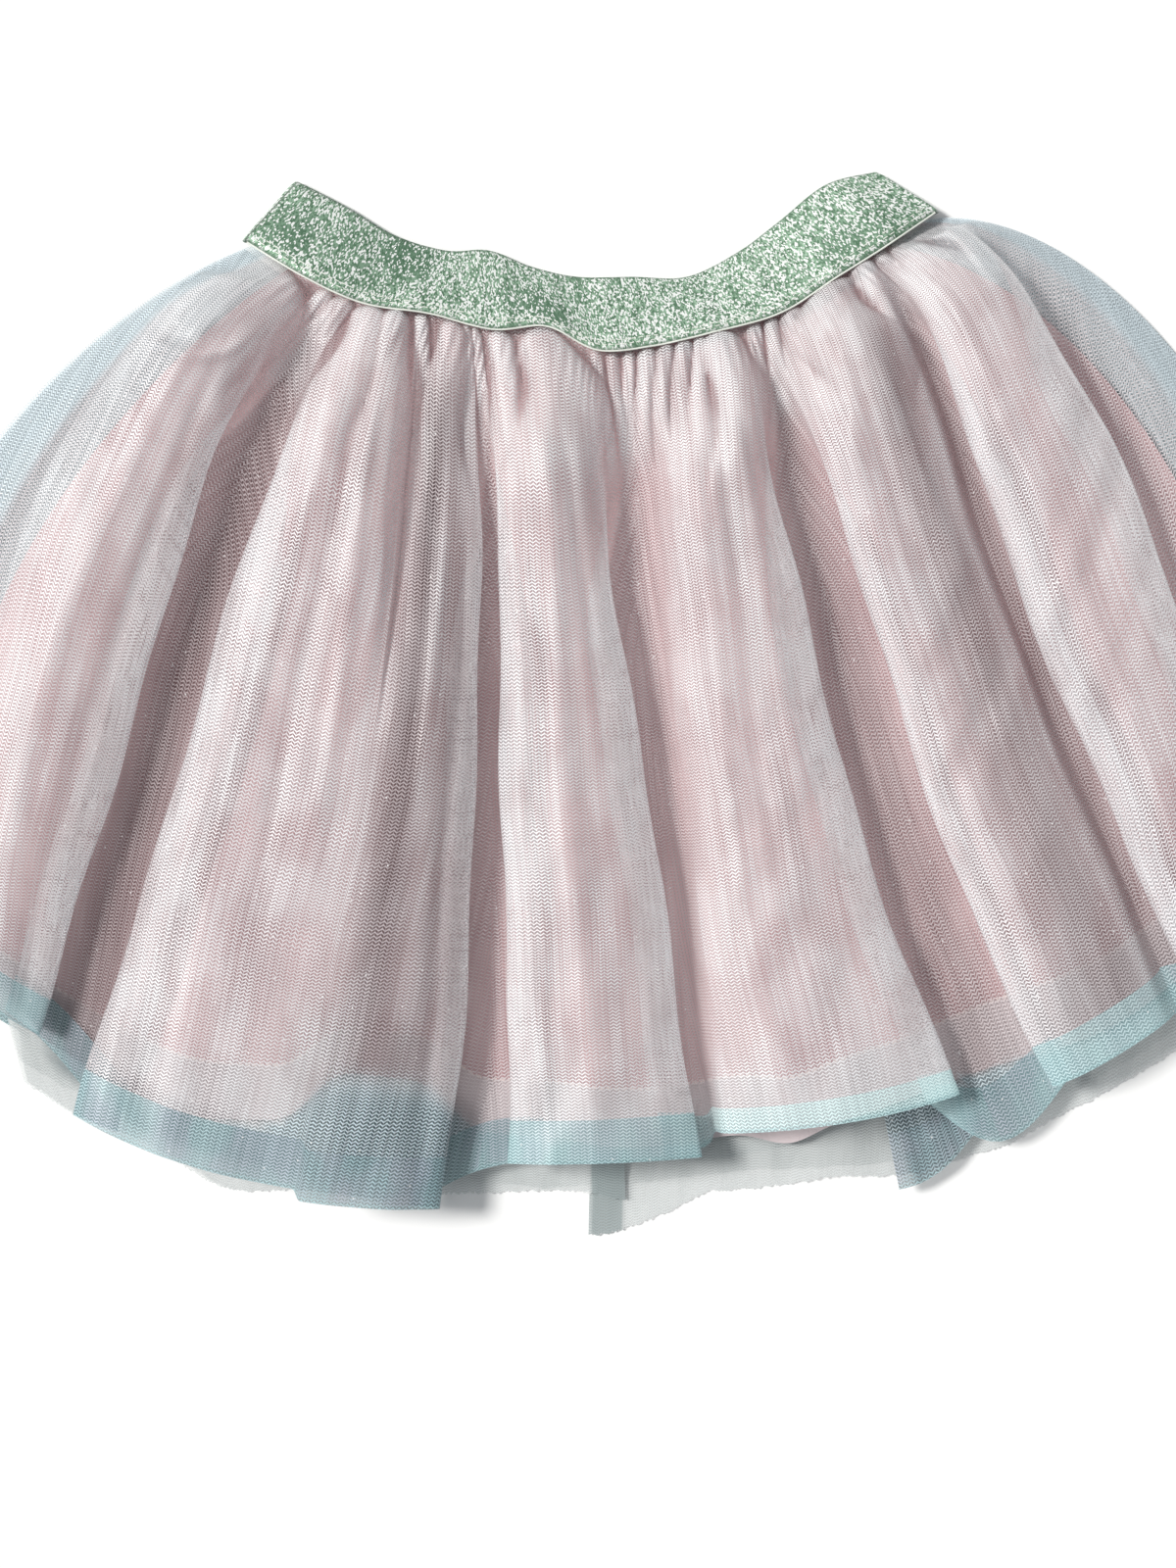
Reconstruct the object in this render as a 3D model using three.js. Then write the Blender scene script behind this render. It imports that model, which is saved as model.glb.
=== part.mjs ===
// A child's gathered tulle skirt, laid flat on a surface with its front up.
//
// Millimetres, +Z up. The skirt lies in the XY plane with its waist towards +Y and its hem towards -Y.
// From the surface up it is: back panels of tulle, lining and net, then front panels of net, lining and
// tulle, with a loop of elastic round the waist. Every panel is a wall between rows that run across the
// skirt, from the waist seam (down = 0) to the hem of the tulle (down = 1).
import * as THREE from "three";

// Driving sizes
const skirtLength = 287; // waist seam to tulle hem, down the middle
const wall = 1; // cloth thickness
const elasticWall = 1.2;
const hemWall = 0.6; // extra thickness of the tulle's turned-up hem
const hemDepth = 14;
const seamOverlap = 2; // how far the panels reach under the elastic
const frontMiddle = 152.8; // Y of the waist seam at its lowest point

// Side edges of the laid-out tulle, each a cubic curve from the waist to the hem
const leftSide = new THREE.CubicBezierCurve(
  new THREE.Vector2(-119, 190.6),
  new THREE.Vector2(-186.3, 166.3),
  new THREE.Vector2(-272.6, 72.5),
  new THREE.Vector2(-258.8, -43.1),
);
const rightSide = new THREE.CubicBezierCurve(
  new THREE.Vector2(121.2, 199.2),
  new THREE.Vector2(176, 210.5),
  new THREE.Vector2(270.8, 124.2),
  new THREE.Vector2(265, -27.6),
);

// Sections of the elastic from its left fold to its right fold: the X and Y of both its edges
const bandSections = [
  { lowX: -120.8, lowY: 192.2, topX: -102.5, topY: 213.6 },
  { lowX: -99.4, lowY: 178.7, topX: -85.6, topY: 204.9 },
  { lowX: -78.7, lowY: 169.4, topX: -68.3, topY: 194.6 },
  { lowX: -55.2, lowY: 165.6, topX: -50.0, topY: 189.1 },
  { lowX: -32.8, lowY: 160.1, topX: -34.5, topY: 189.1 },
  { lowX: -13.8, lowY: 161.1, topX: -19.0, topY: 183.2 },
  { lowX: 4.1, lowY: 152.8, topX: -2.8, topY: 179.7 },
  { lowX: 23.5, lowY: 154.2, topX: 17.3, topY: 179.7 },
  { lowX: 46.6, lowY: 159.4, topX: 36.2, topY: 179.7 },
  { lowX: 69.0, lowY: 165.9, topX: 54.2, topY: 188.4 },
  { lowX: 88.0, lowY: 178.0, topX: 69.0, topY: 199.4 },
  { lowX: 107.0, lowY: 190.1, topX: 85.6, topY: 212.5 },
  { lowX: 124.5, lowY: 202.5, topX: 102.8, topY: 217.0 },
];

// Folds of the front tulle from left to right. left and right are the X of a fold's edges and crown its
// height, each at the waist, halfway and at the hem. leftTuck and rightTuck are how far the cloth turns
// under at an edge, drop is how far the fold's hem hangs below the even hem, and valleyDrop the same for
// the valley on its right. valleyUp is the share of the crown that the valley's floor is raised by.
const folds = [
  { name: "far_left", left: [-114.5, -196, -224], right: [-98.3, -152.5, -191.5], crown: [1.6, 22, 18],
    leftTuck: 0, rightTuck: 12, drop: -9, valleyDrop: -6, valleyUp: [0, 0, 0] },
  { name: "left", left: [-81.1, -136.3, -180.1], right: [-61.5, -76, -82], crown: [1.8, 24, 24],
    leftTuck: 14, rightTuck: 0, drop: 12, valleyDrop: 14, valleyUp: [0, 0.45, 0.9] },
  { name: "left_inner", left: [-56, -66, -74], right: [-41.4, -37.6, -51.4], crown: [1.6, 21, 20],
    leftTuck: 0, rightTuck: 10, drop: 16, valleyDrop: 2, valleyUp: [0, 0, 0] },
  { name: "middle_left", left: [-34.5, -29.3, -28.6], right: [0, 19, 42.1], crown: [2, 21, 19],
    leftTuck: 11, rightTuck: 12, drop: 0, valleyDrop: -2, valleyUp: [0, 0, 0] },
  { name: "middle_right", left: [31.1, 35.5, 50], right: [55.2, 84.2, 132.1], crown: [1.8, 20, 20],
    leftTuck: 0, rightTuck: 11, drop: -8, valleyDrop: 30, valleyUp: [0, 0, 0] },
  { name: "right", left: [69, 105.6, 163.9], right: [98, 145, 205], crown: [1.6, 16, 15],
    leftTuck: 7, rightTuck: 0, drop: 2, valleyDrop: 6, valleyUp: [0, 0.2, 0.3] },
  { name: "far_right", left: [105.2, 152.1, 215.6], right: [117, 189, 244], crown: [1.4, 20, 17],
    leftTuck: 8, rightTuck: 8, drop: 7, valleyDrop: 6, valleyUp: [0, 0, 0] },
];

// Section of a fold, edge to edge. A point is measured inwards from the left or right edge: under is a
// share of the tuck, slope a share of the valley outside where the edge isn't tucked, across a share of
// the fold's width, and up a share of its crown.
const foldSection = [
  { edge: "left", under: 1, slope: 0.42, across: 0, up: 0 },
  { edge: "left", under: 1.25, slope: 0.26, across: 0, up: 0.15 },
  { edge: "left", under: 0.5, slope: 0.12, across: 0, up: 0.37 },
  { edge: "left", under: -0.2, slope: 0, across: 0, up: 0.54 },
  { edge: "left", under: 0, slope: 0, across: 0.08, up: 0.82 },
  { edge: "left", under: 0, slope: 0, across: 0.24, up: 0.99 },
  { edge: "left", under: 0, slope: 0, across: 0.48, up: 1 },
  { edge: "right", under: 0, slope: 0, across: 0.27, up: 0.97 },
  { edge: "right", under: 0, slope: 0, across: 0.09, up: 0.8 },
  { edge: "right", under: -0.2, slope: 0, across: 0, up: 0.52 },
  { edge: "right", under: 0.5, slope: 0.12, across: 0, up: 0.35 },
  { edge: "right", under: 1.25, slope: 0.26, across: 0, up: 0.14 },
  { edge: "right", under: 1, slope: 0.42, across: 0, up: 0 },
];

// Heights of each panel's middle surface above the table: at the waist, in the body and at its side edge
const levels = {
  tulleFront: { waist: 7.8, body: 11, side: 2.4 },
  liningFront: { waist: 6.3, body: 8.6, side: 3.4 },
  netFront: { waist: 4.8, body: 4.9 },
  netBack: 3.4,
  liningBack: 2,
  tulleBack: 0.5,
};
const bandLevels = { low: 13.6, lowAtFold: 7.4, top: 2.6, back: 0.6 };

// Small gathers where the tulle is drawn up into the elastic, which puff up just below it
const gathers = { count: 28, depth: 1.5, puff: 1.3, puffAt: 0.05, fadeOut: 0.26 };
const tulleColumns = 138;

// Share of the tulle's hem line that each inner panel reaches
const reach = { liningFront: 0.975, liningBack: 0.96, netFront: 1.048, netBack: 1.03 };

const mix = (a, b, t) => a + (b - a) * t;
const clamp01 = (t) => Math.min(1, Math.max(0, t));

function smooth(from, to, x) {
  const t = clamp01((x - from) / (to - from));
  return t * t * (3 - 2 * t);
}

// The parabola through values at the waist, halfway and at the hem
function downTo([waist, half, hem], down) {
  return waist * (2 * down * down - 3 * down + 1) + half * 4 * down * (1 - down) + hem * down * (2 * down - 1);
}

// A fold's height at a place: it rises soon below the waist and then follows its halfway and hem values
function crownAt([waist, half, hem], down) {
  return mix(waist, mix(half, hem, clamp01(2 * down - 1)), smooth(0, 0.27, down));
}

// A smooth value through a list of numbers, with s from 0 at the first to 1 at the last
function through(values, s) {
  const last = values.length - 1;
  const at = clamp01(s) * last;
  const i = Math.min(Math.floor(at), last - 1);
  const f = at - i;
  const a = values[Math.max(i - 1, 0)];
  const b = values[i];
  const c = values[i + 1];
  const d = values[Math.min(i + 2, last)];
  return b + 0.5 * f * (c - a + f * (2 * a - 5 * b + 4 * c - d + f * (3 * (b - c) + d - a)));
}

const lowXs = bandSections.map((row) => row.lowX);
const lowYs = bandSections.map((row) => row.lowY);
const topXs = bandSections.map((row) => row.topX);
const topYs = bandSections.map((row) => row.topY);

// Y of the elastic's lower edge at a given X, by halving
function waistSeamY(x) {
  let low = 0;
  let high = 1;
  for (let step = 0; step < 24; step += 1) {
    const middle = (low + high) / 2;
    if (through(lowXs, middle) < x) low = middle;
    else high = middle;
  }
  return through(lowYs, low);
}

// A smile-shaped row across the skirt between its two side edges
function evenRowY(x, down) {
  const a = leftSide.getPoint(down);
  const b = rightSide.getPoint(down);
  const t = clamp01((x - a.x) / (b.x - a.x));
  const sag = (a.y + b.y) / 2 - (frontMiddle - skirtLength * down);
  return mix(a.y, b.y, t) - sag * (1 - Math.abs(2 * t - 1) ** (2 + down));
}

// The row's Y with the waist seam's own waves, which fade out down the skirt
function rowY(x, down) {
  const a = leftSide.getPoint(down);
  const b = rightSide.getPoint(down);
  const t = clamp01((x - a.x) / (b.x - a.x));
  const atWaist = mix(leftSide.v0.x, rightSide.v0.x, t);
  const wave = waistSeamY(atWaist) - evenRowY(atWaist, 0);
  return evenRowY(x, down) + wave * clamp01(1 - down) ** 2;
}

function place(x, z, down, drop) {
  return new THREE.Vector3(x, rowY(x, down) - drop * down * down, z);
}

function levelAt({ waist, body }, down) {
  return mix(waist, body, smooth(0, 0.15, down));
}

// The control points of the front tulle's section at one row, from side edge to side edge
function tulleSection(down) {
  const floor = levelAt(levels.tulleFront, down);
  const a = leftSide.getPoint(down).x;
  const b = rightSide.getPoint(down).x;
  const tucked = smooth(0.08, 0.42, down);
  const edges = folds.map((fold) => ({ left: downTo(fold.left, down), right: downTo(fold.right, down) }));
  const points = sideEdge(a, edges[0].left, floor, folds[0].drop);
  folds.forEach((fold, i) => {
    const { left, right } = edges[i];
    const crown = crownAt(fold.crown, down);
    const outside = {
      left: left - (i ? edges[i - 1].right : a),
      right: (i + 1 < folds.length ? edges[i + 1].left : b) - right,
    };
    const foot = {
      left: i ? clamp01(downTo(folds[i - 1].valleyUp, down)) : 0,
      right: clamp01(downTo(fold.valleyUp, down)),
    };
    for (const { edge, under, slope, across, up } of foldSection) {
      const tuck = (edge === "left" ? fold.leftTuck : fold.rightTuck) * tucked;
      const untucked = fold[edge + "Tuck"] ? 1 - tucked : 1;
      const inward = under * tuck - slope * outside[edge] * untucked + across * (right - left);
      const x = edge === "left" ? left + inward : right - inward;
      points.push({ x, z: floor + mix(foot[edge], 1, up) * crown, drop: fold.drop });
    }
    if (i + 1 < folds.length) {
      const half = (right + edges[i + 1].left) / 2;
      points.push({ x: half, z: floor + foot.right * crown, drop: fold.valleyDrop });
    }
  });
  const lastFold = folds[folds.length - 1];
  points.push(...sideEdge(b, edges[folds.length - 1].right, floor, lastFold.valleyDrop).reverse());
  return points;
}

// The flat strip between a side edge of the tulle and the foot of the fold beside it
function sideEdge(edge, fold, floor, drop) {
  const side = levels.tulleFront.side;
  return [
    { x: edge, z: side, drop },
    { x: mix(edge, fold, 0.2), z: mix(side, floor, 0.5), drop },
    { x: mix(edge, fold, 0.4), z: floor, drop },
  ];
}

// A point of the uniform cubic B-spline through a section's control points, whose ends it meets
function onSection(points, at) {
  const last = points.length - 1;
  const i = Math.min(Math.floor(at), last - 1);
  const f = at - i;
  const weights = [(1 - f) ** 3, 3 * f ** 3 - 6 * f * f + 4, 3 * (f - f ** 3 + f * f) + 1, f ** 3];
  const result = { x: 0, z: 0, drop: 0 };
  weights.forEach((weight, k) => {
    const j = i + k - 1;
    for (const key of Object.keys(result)) {
      let value;
      if (j < 0) value = 2 * points[0][key] - points[1][key];
      else if (j > last) value = 2 * points[last][key] - points[last - 1][key];
      else value = points[j][key];
      result[key] += (weight * value) / 6;
    }
  });
  return result;
}

// The sides of the tulle stay low where they come out of the elastic's folds
function sideShare(x, down) {
  const t = (x - leftSide.getPoint(down).x) / (rightSide.getPoint(down).x - leftSide.getPoint(down).x);
  const reachIn = 0.1 * (1 - smooth(0.03, 0.25, down));
  return smooth(0, reachIn + 0.001, Math.min(t, 1 - t));
}

// Height added by the small gathers, which are uneven and leave the side edges flat
function gatherLift(x, down) {
  const t = clamp01((x - leftSide.getPoint(down).x) / (rightSide.getPoint(down).x - leftSide.getPoint(down).x));
  const phase = 2 * Math.PI * gathers.count * (t + 0.012 * Math.sin(19 * t) + 0.006 * Math.sin(47 * t + 1));
  const inside = smooth(0.02, 0.07, t) * smooth(0.02, 0.07, 1 - t);
  const puff = 1 + gathers.puff * smooth(0, gathers.puffAt, down);
  const fade = 1 - smooth(gathers.puffAt, gathers.fadeOut, down);
  return (gathers.depth / 2) * (1 - Math.cos(phase)) * inside * puff * fade;
}

// A closed wall round a grid of middle points, rows running from the waist to the hem and each row from
// left to right. below(row) is the extra thickness on the underside.
function wallFrom(rows, below = () => 0) {
  const height = rows.length;
  const width = rows[0].length;
  const positions = [];
  const across = new THREE.Vector3();
  const along = new THREE.Vector3();
  const normals = rows.map((row, r) =>
    row.map((_, c) => {
      across.subVectors(row[Math.min(c + 1, width - 1)], row[Math.max(c - 1, 0)]);
      along.subVectors(rows[Math.min(r + 1, height - 1)][c], rows[Math.max(r - 1, 0)][c]);
      return new THREE.Vector3().crossVectors(along, across).normalize();
    }),
  );
  for (const side of [1, -1])
    rows.forEach((row, r) =>
      row.forEach((point, c) => {
        const out = side > 0 ? wall / 2 : -wall / 2 - below(r);
        positions.push(...point.clone().addScaledVector(normals[r][c], out).toArray());
      }),
    );
  return closedSheet(positions, width, height);
}

// Joins two grids of points, the upper one first, into a closed body
function closedSheet(positions, width, height) {
  const index = [];
  const top = (r, c) => r * width + c;
  const under = (r, c) => (height + r) * width + c;
  const quad = (a, b, c, d) => index.push(a, b, c, a, c, d);
  for (let r = 0; r + 1 < height; r += 1)
    for (let c = 0; c + 1 < width; c += 1) {
      quad(top(r, c), top(r + 1, c), top(r + 1, c + 1), top(r, c + 1));
      quad(under(r, c), under(r, c + 1), under(r + 1, c + 1), under(r + 1, c));
    }
  for (let c = 0; c + 1 < width; c += 1) {
    quad(top(0, c), top(0, c + 1), under(0, c + 1), under(0, c));
    quad(top(height - 1, c + 1), top(height - 1, c), under(height - 1, c), under(height - 1, c + 1));
  }
  for (let r = 0; r + 1 < height; r += 1) {
    quad(top(r + 1, 0), top(r, 0), under(r, 0), under(r + 1, 0));
    quad(top(r, width - 1), top(r + 1, width - 1), under(r + 1, width - 1), under(r, width - 1));
  }
  const geometry = new THREE.BufferGeometry();
  geometry.setAttribute("position", new THREE.Float32BufferAttribute(positions, 3));
  geometry.setIndex(index);
  return geometry;
}

const seamDown = -seamOverlap / skirtLength;
const hemDown = 1 - hemDepth / skirtLength;

function tulleFront() {
  const downs = [seamDown, 0.02, 0.05, 0.1, 0.18, 0.28, 0.4, 0.52, 0.65, 0.78, 0.88, hemDown, hemDown + 0.006, 1];
  const rows = downs.map((down) => {
    const points = tulleSection(down);
    return Array.from({ length: tulleColumns + 1 }, (_, k) => {
      const { x, z, drop } = onSection(points, ((points.length - 1) * k) / tulleColumns);
      const height = mix(levels.tulleFront.side, z + gatherLift(x, down), sideShare(x, down));
      return place(x, height, down, drop);
    });
  });
  return wallFrom(rows, (r) => (downs[r] > hemDown ? hemWall : 0));
}

// Soft swellings of the inner front panels under the wide folds of the tulle
function swellings(down) {
  return folds
    .map((fold) => {
      const left = downTo(fold.left, down);
      const right = downTo(fold.right, down);
      const tuck = Math.max(fold.leftTuck, fold.rightTuck) * 1.25 * smooth(0.08, 0.42, down);
      const half = Math.max(1, (right - left) / 2 - tuck - 3);
      return { middle: (left + right) / 2, half, crown: crownAt(fold.crown, down), fold };
    })
    .filter(({ fold }) => fold.right[2] - fold.left[2] > 50);
}

function swell(x, down, share) {
  let lift = 0;
  for (const { middle, half, crown } of swellings(down)) {
    const t = Math.abs(x - middle) / half;
    if (t < 1) lift += Math.min(share * crown, 0.3 * half) * (1 - t * t) ** 2;
  }
  return lift;
}

// How far the lining and the net stop short of the tulle's side edges, which they're narrower than
const liningInset = { left: [13, 21, 30], right: [13, 16, 22] };
const netInset = { waist: 12, hem: 24 };

// How far in from its side edges the front lining comes up to its full level
const liningRise = { waist: 9, hem: 17 };

// The X values of a row of the front lining: a rise at each side edge, the swellings and the gaps
// between them, each in even steps
function liningColumns(down, left, right, rise) {
  const spans = [{ to: left + rise, steps: 4 }];
  for (const { middle, half } of swellings(down)) {
    spans.push({ to: middle - half, steps: 2 }, { to: middle + half, steps: 6 });
  }
  spans.push({ to: right - rise, steps: 3 }, { to: right, steps: 4 });
  const columns = [left];
  for (const { to, steps } of spans) {
    const from = columns[columns.length - 1];
    for (let k = 1; k <= steps; k += 1) columns.push(mix(from, to, k / steps));
  }
  return columns;
}

function liningEdges(down) {
  const left = leftSide.getPoint(down).x + downTo(liningInset.left, down);
  const right = rightSide.getPoint(down).x - downTo(liningInset.right, down);
  return [left, right];
}

function netEdges(down) {
  const [left, right] = liningEdges(down);
  const inset = mix(netInset.waist, netInset.hem, down);
  return [left + inset, right - inset];
}

const liningWave = (x) => 3 * Math.sin(x / 31 + 0.6) + 1.5 * Math.sin(x / 13);

function liningFront() {
  const rows = [seamDown, 0.08, 0.18, 0.3, 0.45, 0.6, 0.75, 0.88, reach.liningFront].map((down) => {
    const [left, right] = liningEdges(down);
    const level = levelAt(levels.liningFront, down);
    const rise = mix(liningRise.waist, liningRise.hem, clamp01(down));
    return liningColumns(down, left, right, rise).map((x) => {
      const inside = smooth(0, rise, Math.min(x - left, right - x));
      const z = mix(levels.liningFront.side, level, inside) + swell(x, down, 0.5);
      return place(x, z, down, liningWave(x));
    });
  });
  return wallFrom(rows);
}

// The front net is two panels whose free edges overlap near the middle. Each edge's X is given at the
// waist, halfway and at the hem.
const netOverlap = { leftPanelEdge: [5.8, 9.7, 13.8], rightPanelEdge: [9.4, 5.2, 1.4], lift: 1.8 };
const netRows = [seamDown, 0.12, 0.3, 0.5, 0.7, 0.87, 0.97, reach.netFront];

// The net hangs lower beside the right panel's free edge
const netDrop = (x, edge) => 13 * (1 - smooth(0, 45, Math.abs(x - edge)));

function netFrontLeft() {
  const rows = netRows.map((down) => {
    const [left] = netEdges(down);
    const right = downTo(netOverlap.leftPanelEdge, down);
    const columns = 22;
    return Array.from({ length: columns + 1 }, (_, k) => {
      const x = mix(left, right, k / columns);
      const over = smooth(30, 16, right - x) * smooth(0.06, 0.2, down);
      const z = levelAt(levels.netFront, down) + swell(x, down, 0.26) + netOverlap.lift * over;
      return place(x, z, down, 1.5 * Math.sin(x / 17));
    });
  });
  return wallFrom(rows);
}

function netFrontRight() {
  const rows = netRows.map((down) => {
    const [, right] = netEdges(down);
    const left = downTo(netOverlap.rightPanelEdge, down);
    const columns = 22;
    return Array.from({ length: columns + 1 }, (_, k) => {
      const x = mix(left, right, k / columns);
      const clear = smooth(14, 34, x - left);
      const z = levelAt(levels.netFront, down) + swell(x, down, 0.26) * clear;
      return place(x, z, down, netDrop(x, left) + 1.5 * Math.sin(x / 17));
    });
  });
  return wallFrom(rows);
}

// A back panel lies flat on what is under it
function backPanel(downs, edgesAt, level, columns, wave) {
  const rows = downs.map((down) => {
    const [left, right] = edgesAt(down);
    return Array.from({ length: columns + 1 }, (_, k) => {
      const x = mix(left, right, k / columns);
      return place(x, level, down, wave(x));
    });
  });
  return wallFrom(rows);
}

const tulleEdges = (down) => [leftSide.getPoint(down).x, rightSide.getPoint(down).x];

function tulleBack() {
  const downs = [0.014, 0.1, 0.25, 0.4, 0.55, 0.7, 0.85, 1];
  return backPanel(downs, tulleEdges, levels.tulleBack, 36, (x) => 3 * Math.sin(x / 24));
}

function liningBack() {
  return backPanel([seamDown, 0.2, 0.4, 0.6, 0.8, reach.liningBack], liningEdges, levels.liningBack, 28, liningWave);
}

function netBack() {
  const downs = [seamDown, 0.2, 0.4, 0.6, 0.8, reach.netBack];
  return backPanel(downs, netEdges, levels.netBack, 28, (x) => 2 * Math.sin(x / 21 + 2));
}

// The loop of elastic, pressed flat: over the front from its left fold to its right fold and back under
function elastic() {
  const stations = [];
  const frontSteps = 30;
  const foldBulge = 2.4;
  for (let k = 0; k <= frontSteps; k += 1) {
    const s = k / frontSteps;
    const inside = smooth(0, 0.09, s) * smooth(0, 0.09, 1 - s);
    stations.push({ s, out: 0, low: mix(bandLevels.lowAtFold, bandLevels.low, inside), top: bandLevels.top });
  }
  const turn = { low: bandLevels.lowAtFold / 2, top: (bandLevels.top + bandLevels.back) / 2 };
  stations.push({ s: 1, out: foldBulge, ...turn });
  const backSteps = 14;
  for (let k = backSteps; k >= 0; k -= 1) {
    stations.push({ s: k / backSteps, out: 0, low: bandLevels.back, top: bandLevels.back });
  }
  stations.push({ s: 0, out: -foldBulge, ...turn });
  return loopFrom(stations.map(bandEdges));
}

// The middle points of the elastic's low and top edges at a station
function bandEdges({ s, out, low, top }) {
  return {
    low: new THREE.Vector3(through(lowXs, s) + out, through(lowYs, s), low),
    top: new THREE.Vector3(through(topXs, s) + out, through(topYs, s), top),
  };
}

// A closed loop with a rectangular section whose width runs from each station's low to its top edge
function loopFrom(stations) {
  const count = stations.length;
  const positions = [];
  const along = new THREE.Vector3();
  const width = new THREE.Vector3();
  stations.forEach(({ low, top }, k) => {
    const before = stations[(k + count - 1) % count];
    const after = stations[(k + 1) % count];
    along.subVectors(after.low, before.low).add(after.top).sub(before.top);
    width.subVectors(top, low);
    const out = new THREE.Vector3().crossVectors(along, width).normalize();
    for (const [edge, side] of [[low, 1], [top, 1], [top, -1], [low, -1]]) {
      positions.push(...edge.clone().addScaledVector(out, (side * elasticWall) / 2).toArray());
    }
  });
  const index = [];
  for (let k = 0; k < count; k += 1) {
    const here = 4 * k;
    const next = 4 * ((k + 1) % count);
    for (let e = 0; e < 4; e += 1) {
      const f = (e + 1) % 4;
      index.push(here + e, next + e, next + f, here + e, next + f, here + f);
    }
  }
  const geometry = new THREE.BufferGeometry();
  geometry.setAttribute("position", new THREE.Float32BufferAttribute(positions, 3));
  geometry.setIndex(index);
  return geometry;
}

const tulleCloth = { color: 0xcfe6e8, roughness: 0.45, metalness: 0 };
const liningCloth = { color: 0xeab8bc, roughness: 0.8, metalness: 0 };
const netCloth = { color: 0xdfe3e3, roughness: 0.6, metalness: 0 };
const glitterElastic = { color: 0x9fc4a8, roughness: 0.35, metalness: 0.3 };

function piece(name, geometry, cloth) {
  const mesh = new THREE.Mesh(geometry, new THREE.MeshStandardMaterial(cloth));
  mesh.name = name;
  return mesh;
}

const skirt = new THREE.Group();
skirt.add(
  piece("waist_elastic", elastic(), glitterElastic),
  piece("tulle_front", tulleFront(), tulleCloth),
  piece("tulle_back", tulleBack(), tulleCloth),
  piece("lining_front", liningFront(), liningCloth),
  piece("lining_back", liningBack(), liningCloth),
  piece("net_front_left", netFrontLeft(), netCloth),
  piece("net_front_right", netFrontRight(), netCloth),
  piece("net_back", netBack(), netCloth),
);

// The origin is the middle of the laid-out skirt, on the surface under it
const box = new THREE.Box3().setFromObject(skirt);
const middle = box.getCenter(new THREE.Vector3());
skirt.position.set(-middle.x, -middle.y, -box.min.z);

export default skirt;
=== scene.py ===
"""A child's tulle skirt laid flat on a pale floor, dressed over its CAD frame.

The layout below is in millimetres, with +Y towards the waist and +Z up. Rows run across the skirt from
the waist seam (down = 0) to the hem of the tulle (down = 1).
"""

import math
from functools import partialmethod

import bpy
import numpy as np
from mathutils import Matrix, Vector


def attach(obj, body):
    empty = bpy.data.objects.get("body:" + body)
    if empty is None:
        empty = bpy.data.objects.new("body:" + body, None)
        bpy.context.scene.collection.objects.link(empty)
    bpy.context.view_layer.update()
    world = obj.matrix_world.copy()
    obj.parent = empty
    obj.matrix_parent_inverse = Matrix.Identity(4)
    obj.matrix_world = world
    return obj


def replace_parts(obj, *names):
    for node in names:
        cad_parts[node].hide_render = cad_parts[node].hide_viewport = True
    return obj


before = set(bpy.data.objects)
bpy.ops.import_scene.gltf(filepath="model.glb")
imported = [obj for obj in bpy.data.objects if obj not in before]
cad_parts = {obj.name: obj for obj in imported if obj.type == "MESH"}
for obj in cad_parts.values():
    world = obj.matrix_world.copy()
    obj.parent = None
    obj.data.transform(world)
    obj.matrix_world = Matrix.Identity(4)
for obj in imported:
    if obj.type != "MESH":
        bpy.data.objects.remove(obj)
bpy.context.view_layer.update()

# Sizes of the layout
MM = 0.001
LAYOUT_MIDDLE = (2.58, 27.546)  # the frame's origin in the layout
SKIRT_LENGTH = 287.0
FRONT_MIDDLE = 152.8  # y of the waist seam in the middle
HEM_DEPTH = 14.0
BAND_WIDTH = 25.0
BAND_THICKNESS = 1.1
LINING_HEM = 0.975  # share of the way from the waist to the tulle's hem
NET_HEM = 1.048
LINING_HEM_DEPTH = 20.0
SEAM_DOWN = -2.0 / SKIRT_LENGTH
WIDE_FOLD = 50  # the panels under a fold that is wider than this at the hem swell up into it
PLEAT_LENGTH = 36
PLEAT_WIDTH = 30
CROWN_GROWN = 0.22  # share of the way down at which a crown has grown
FLANK_LIT = 0.36  # how strong the painted highlight on the left flank of a fold is
LINING_FILL, NET_FILL = 0.5, 0.26  # share of the crowns that the panels under them swell up into
TUCKING = (0.08, 0.42)  # share of the way down over which the folds' tucks open

LEFT_SIDE = np.array([(-119, 190.6), (-186.3, 166.3), (-272.6, 72.5), (-258.8, -43.1)])
RIGHT_SIDE = np.array([(121.2, 199.2), (176, 210.5), (270.8, 124.2), (265, -27.6)])

# Sections of the elastic from its left fold to its right fold: low x, low y, top x, top y
BAND_SECTIONS = np.array([
    (-120.8, 192.2, -102.5, 213.6),
    (-99.4, 178.7, -85.6, 204.9),
    (-78.7, 169.4, -68.3, 194.6),
    (-55.2, 165.6, -50.0, 189.1),
    (-32.8, 160.1, -34.5, 189.1),
    (-13.8, 161.1, -19.0, 183.2),
    (4.1, 152.8, -2.8, 179.7),
    (23.5, 154.2, 17.3, 179.7),
    (46.6, 159.4, 36.2, 179.7),
    (69.0, 165.9, 54.2, 188.4),
    (88.0, 178.0, 69.0, 199.4),
    (107.0, 190.1, 85.6, 212.5),
    (124.5, 202.5, 102.8, 217.0),
])
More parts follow.
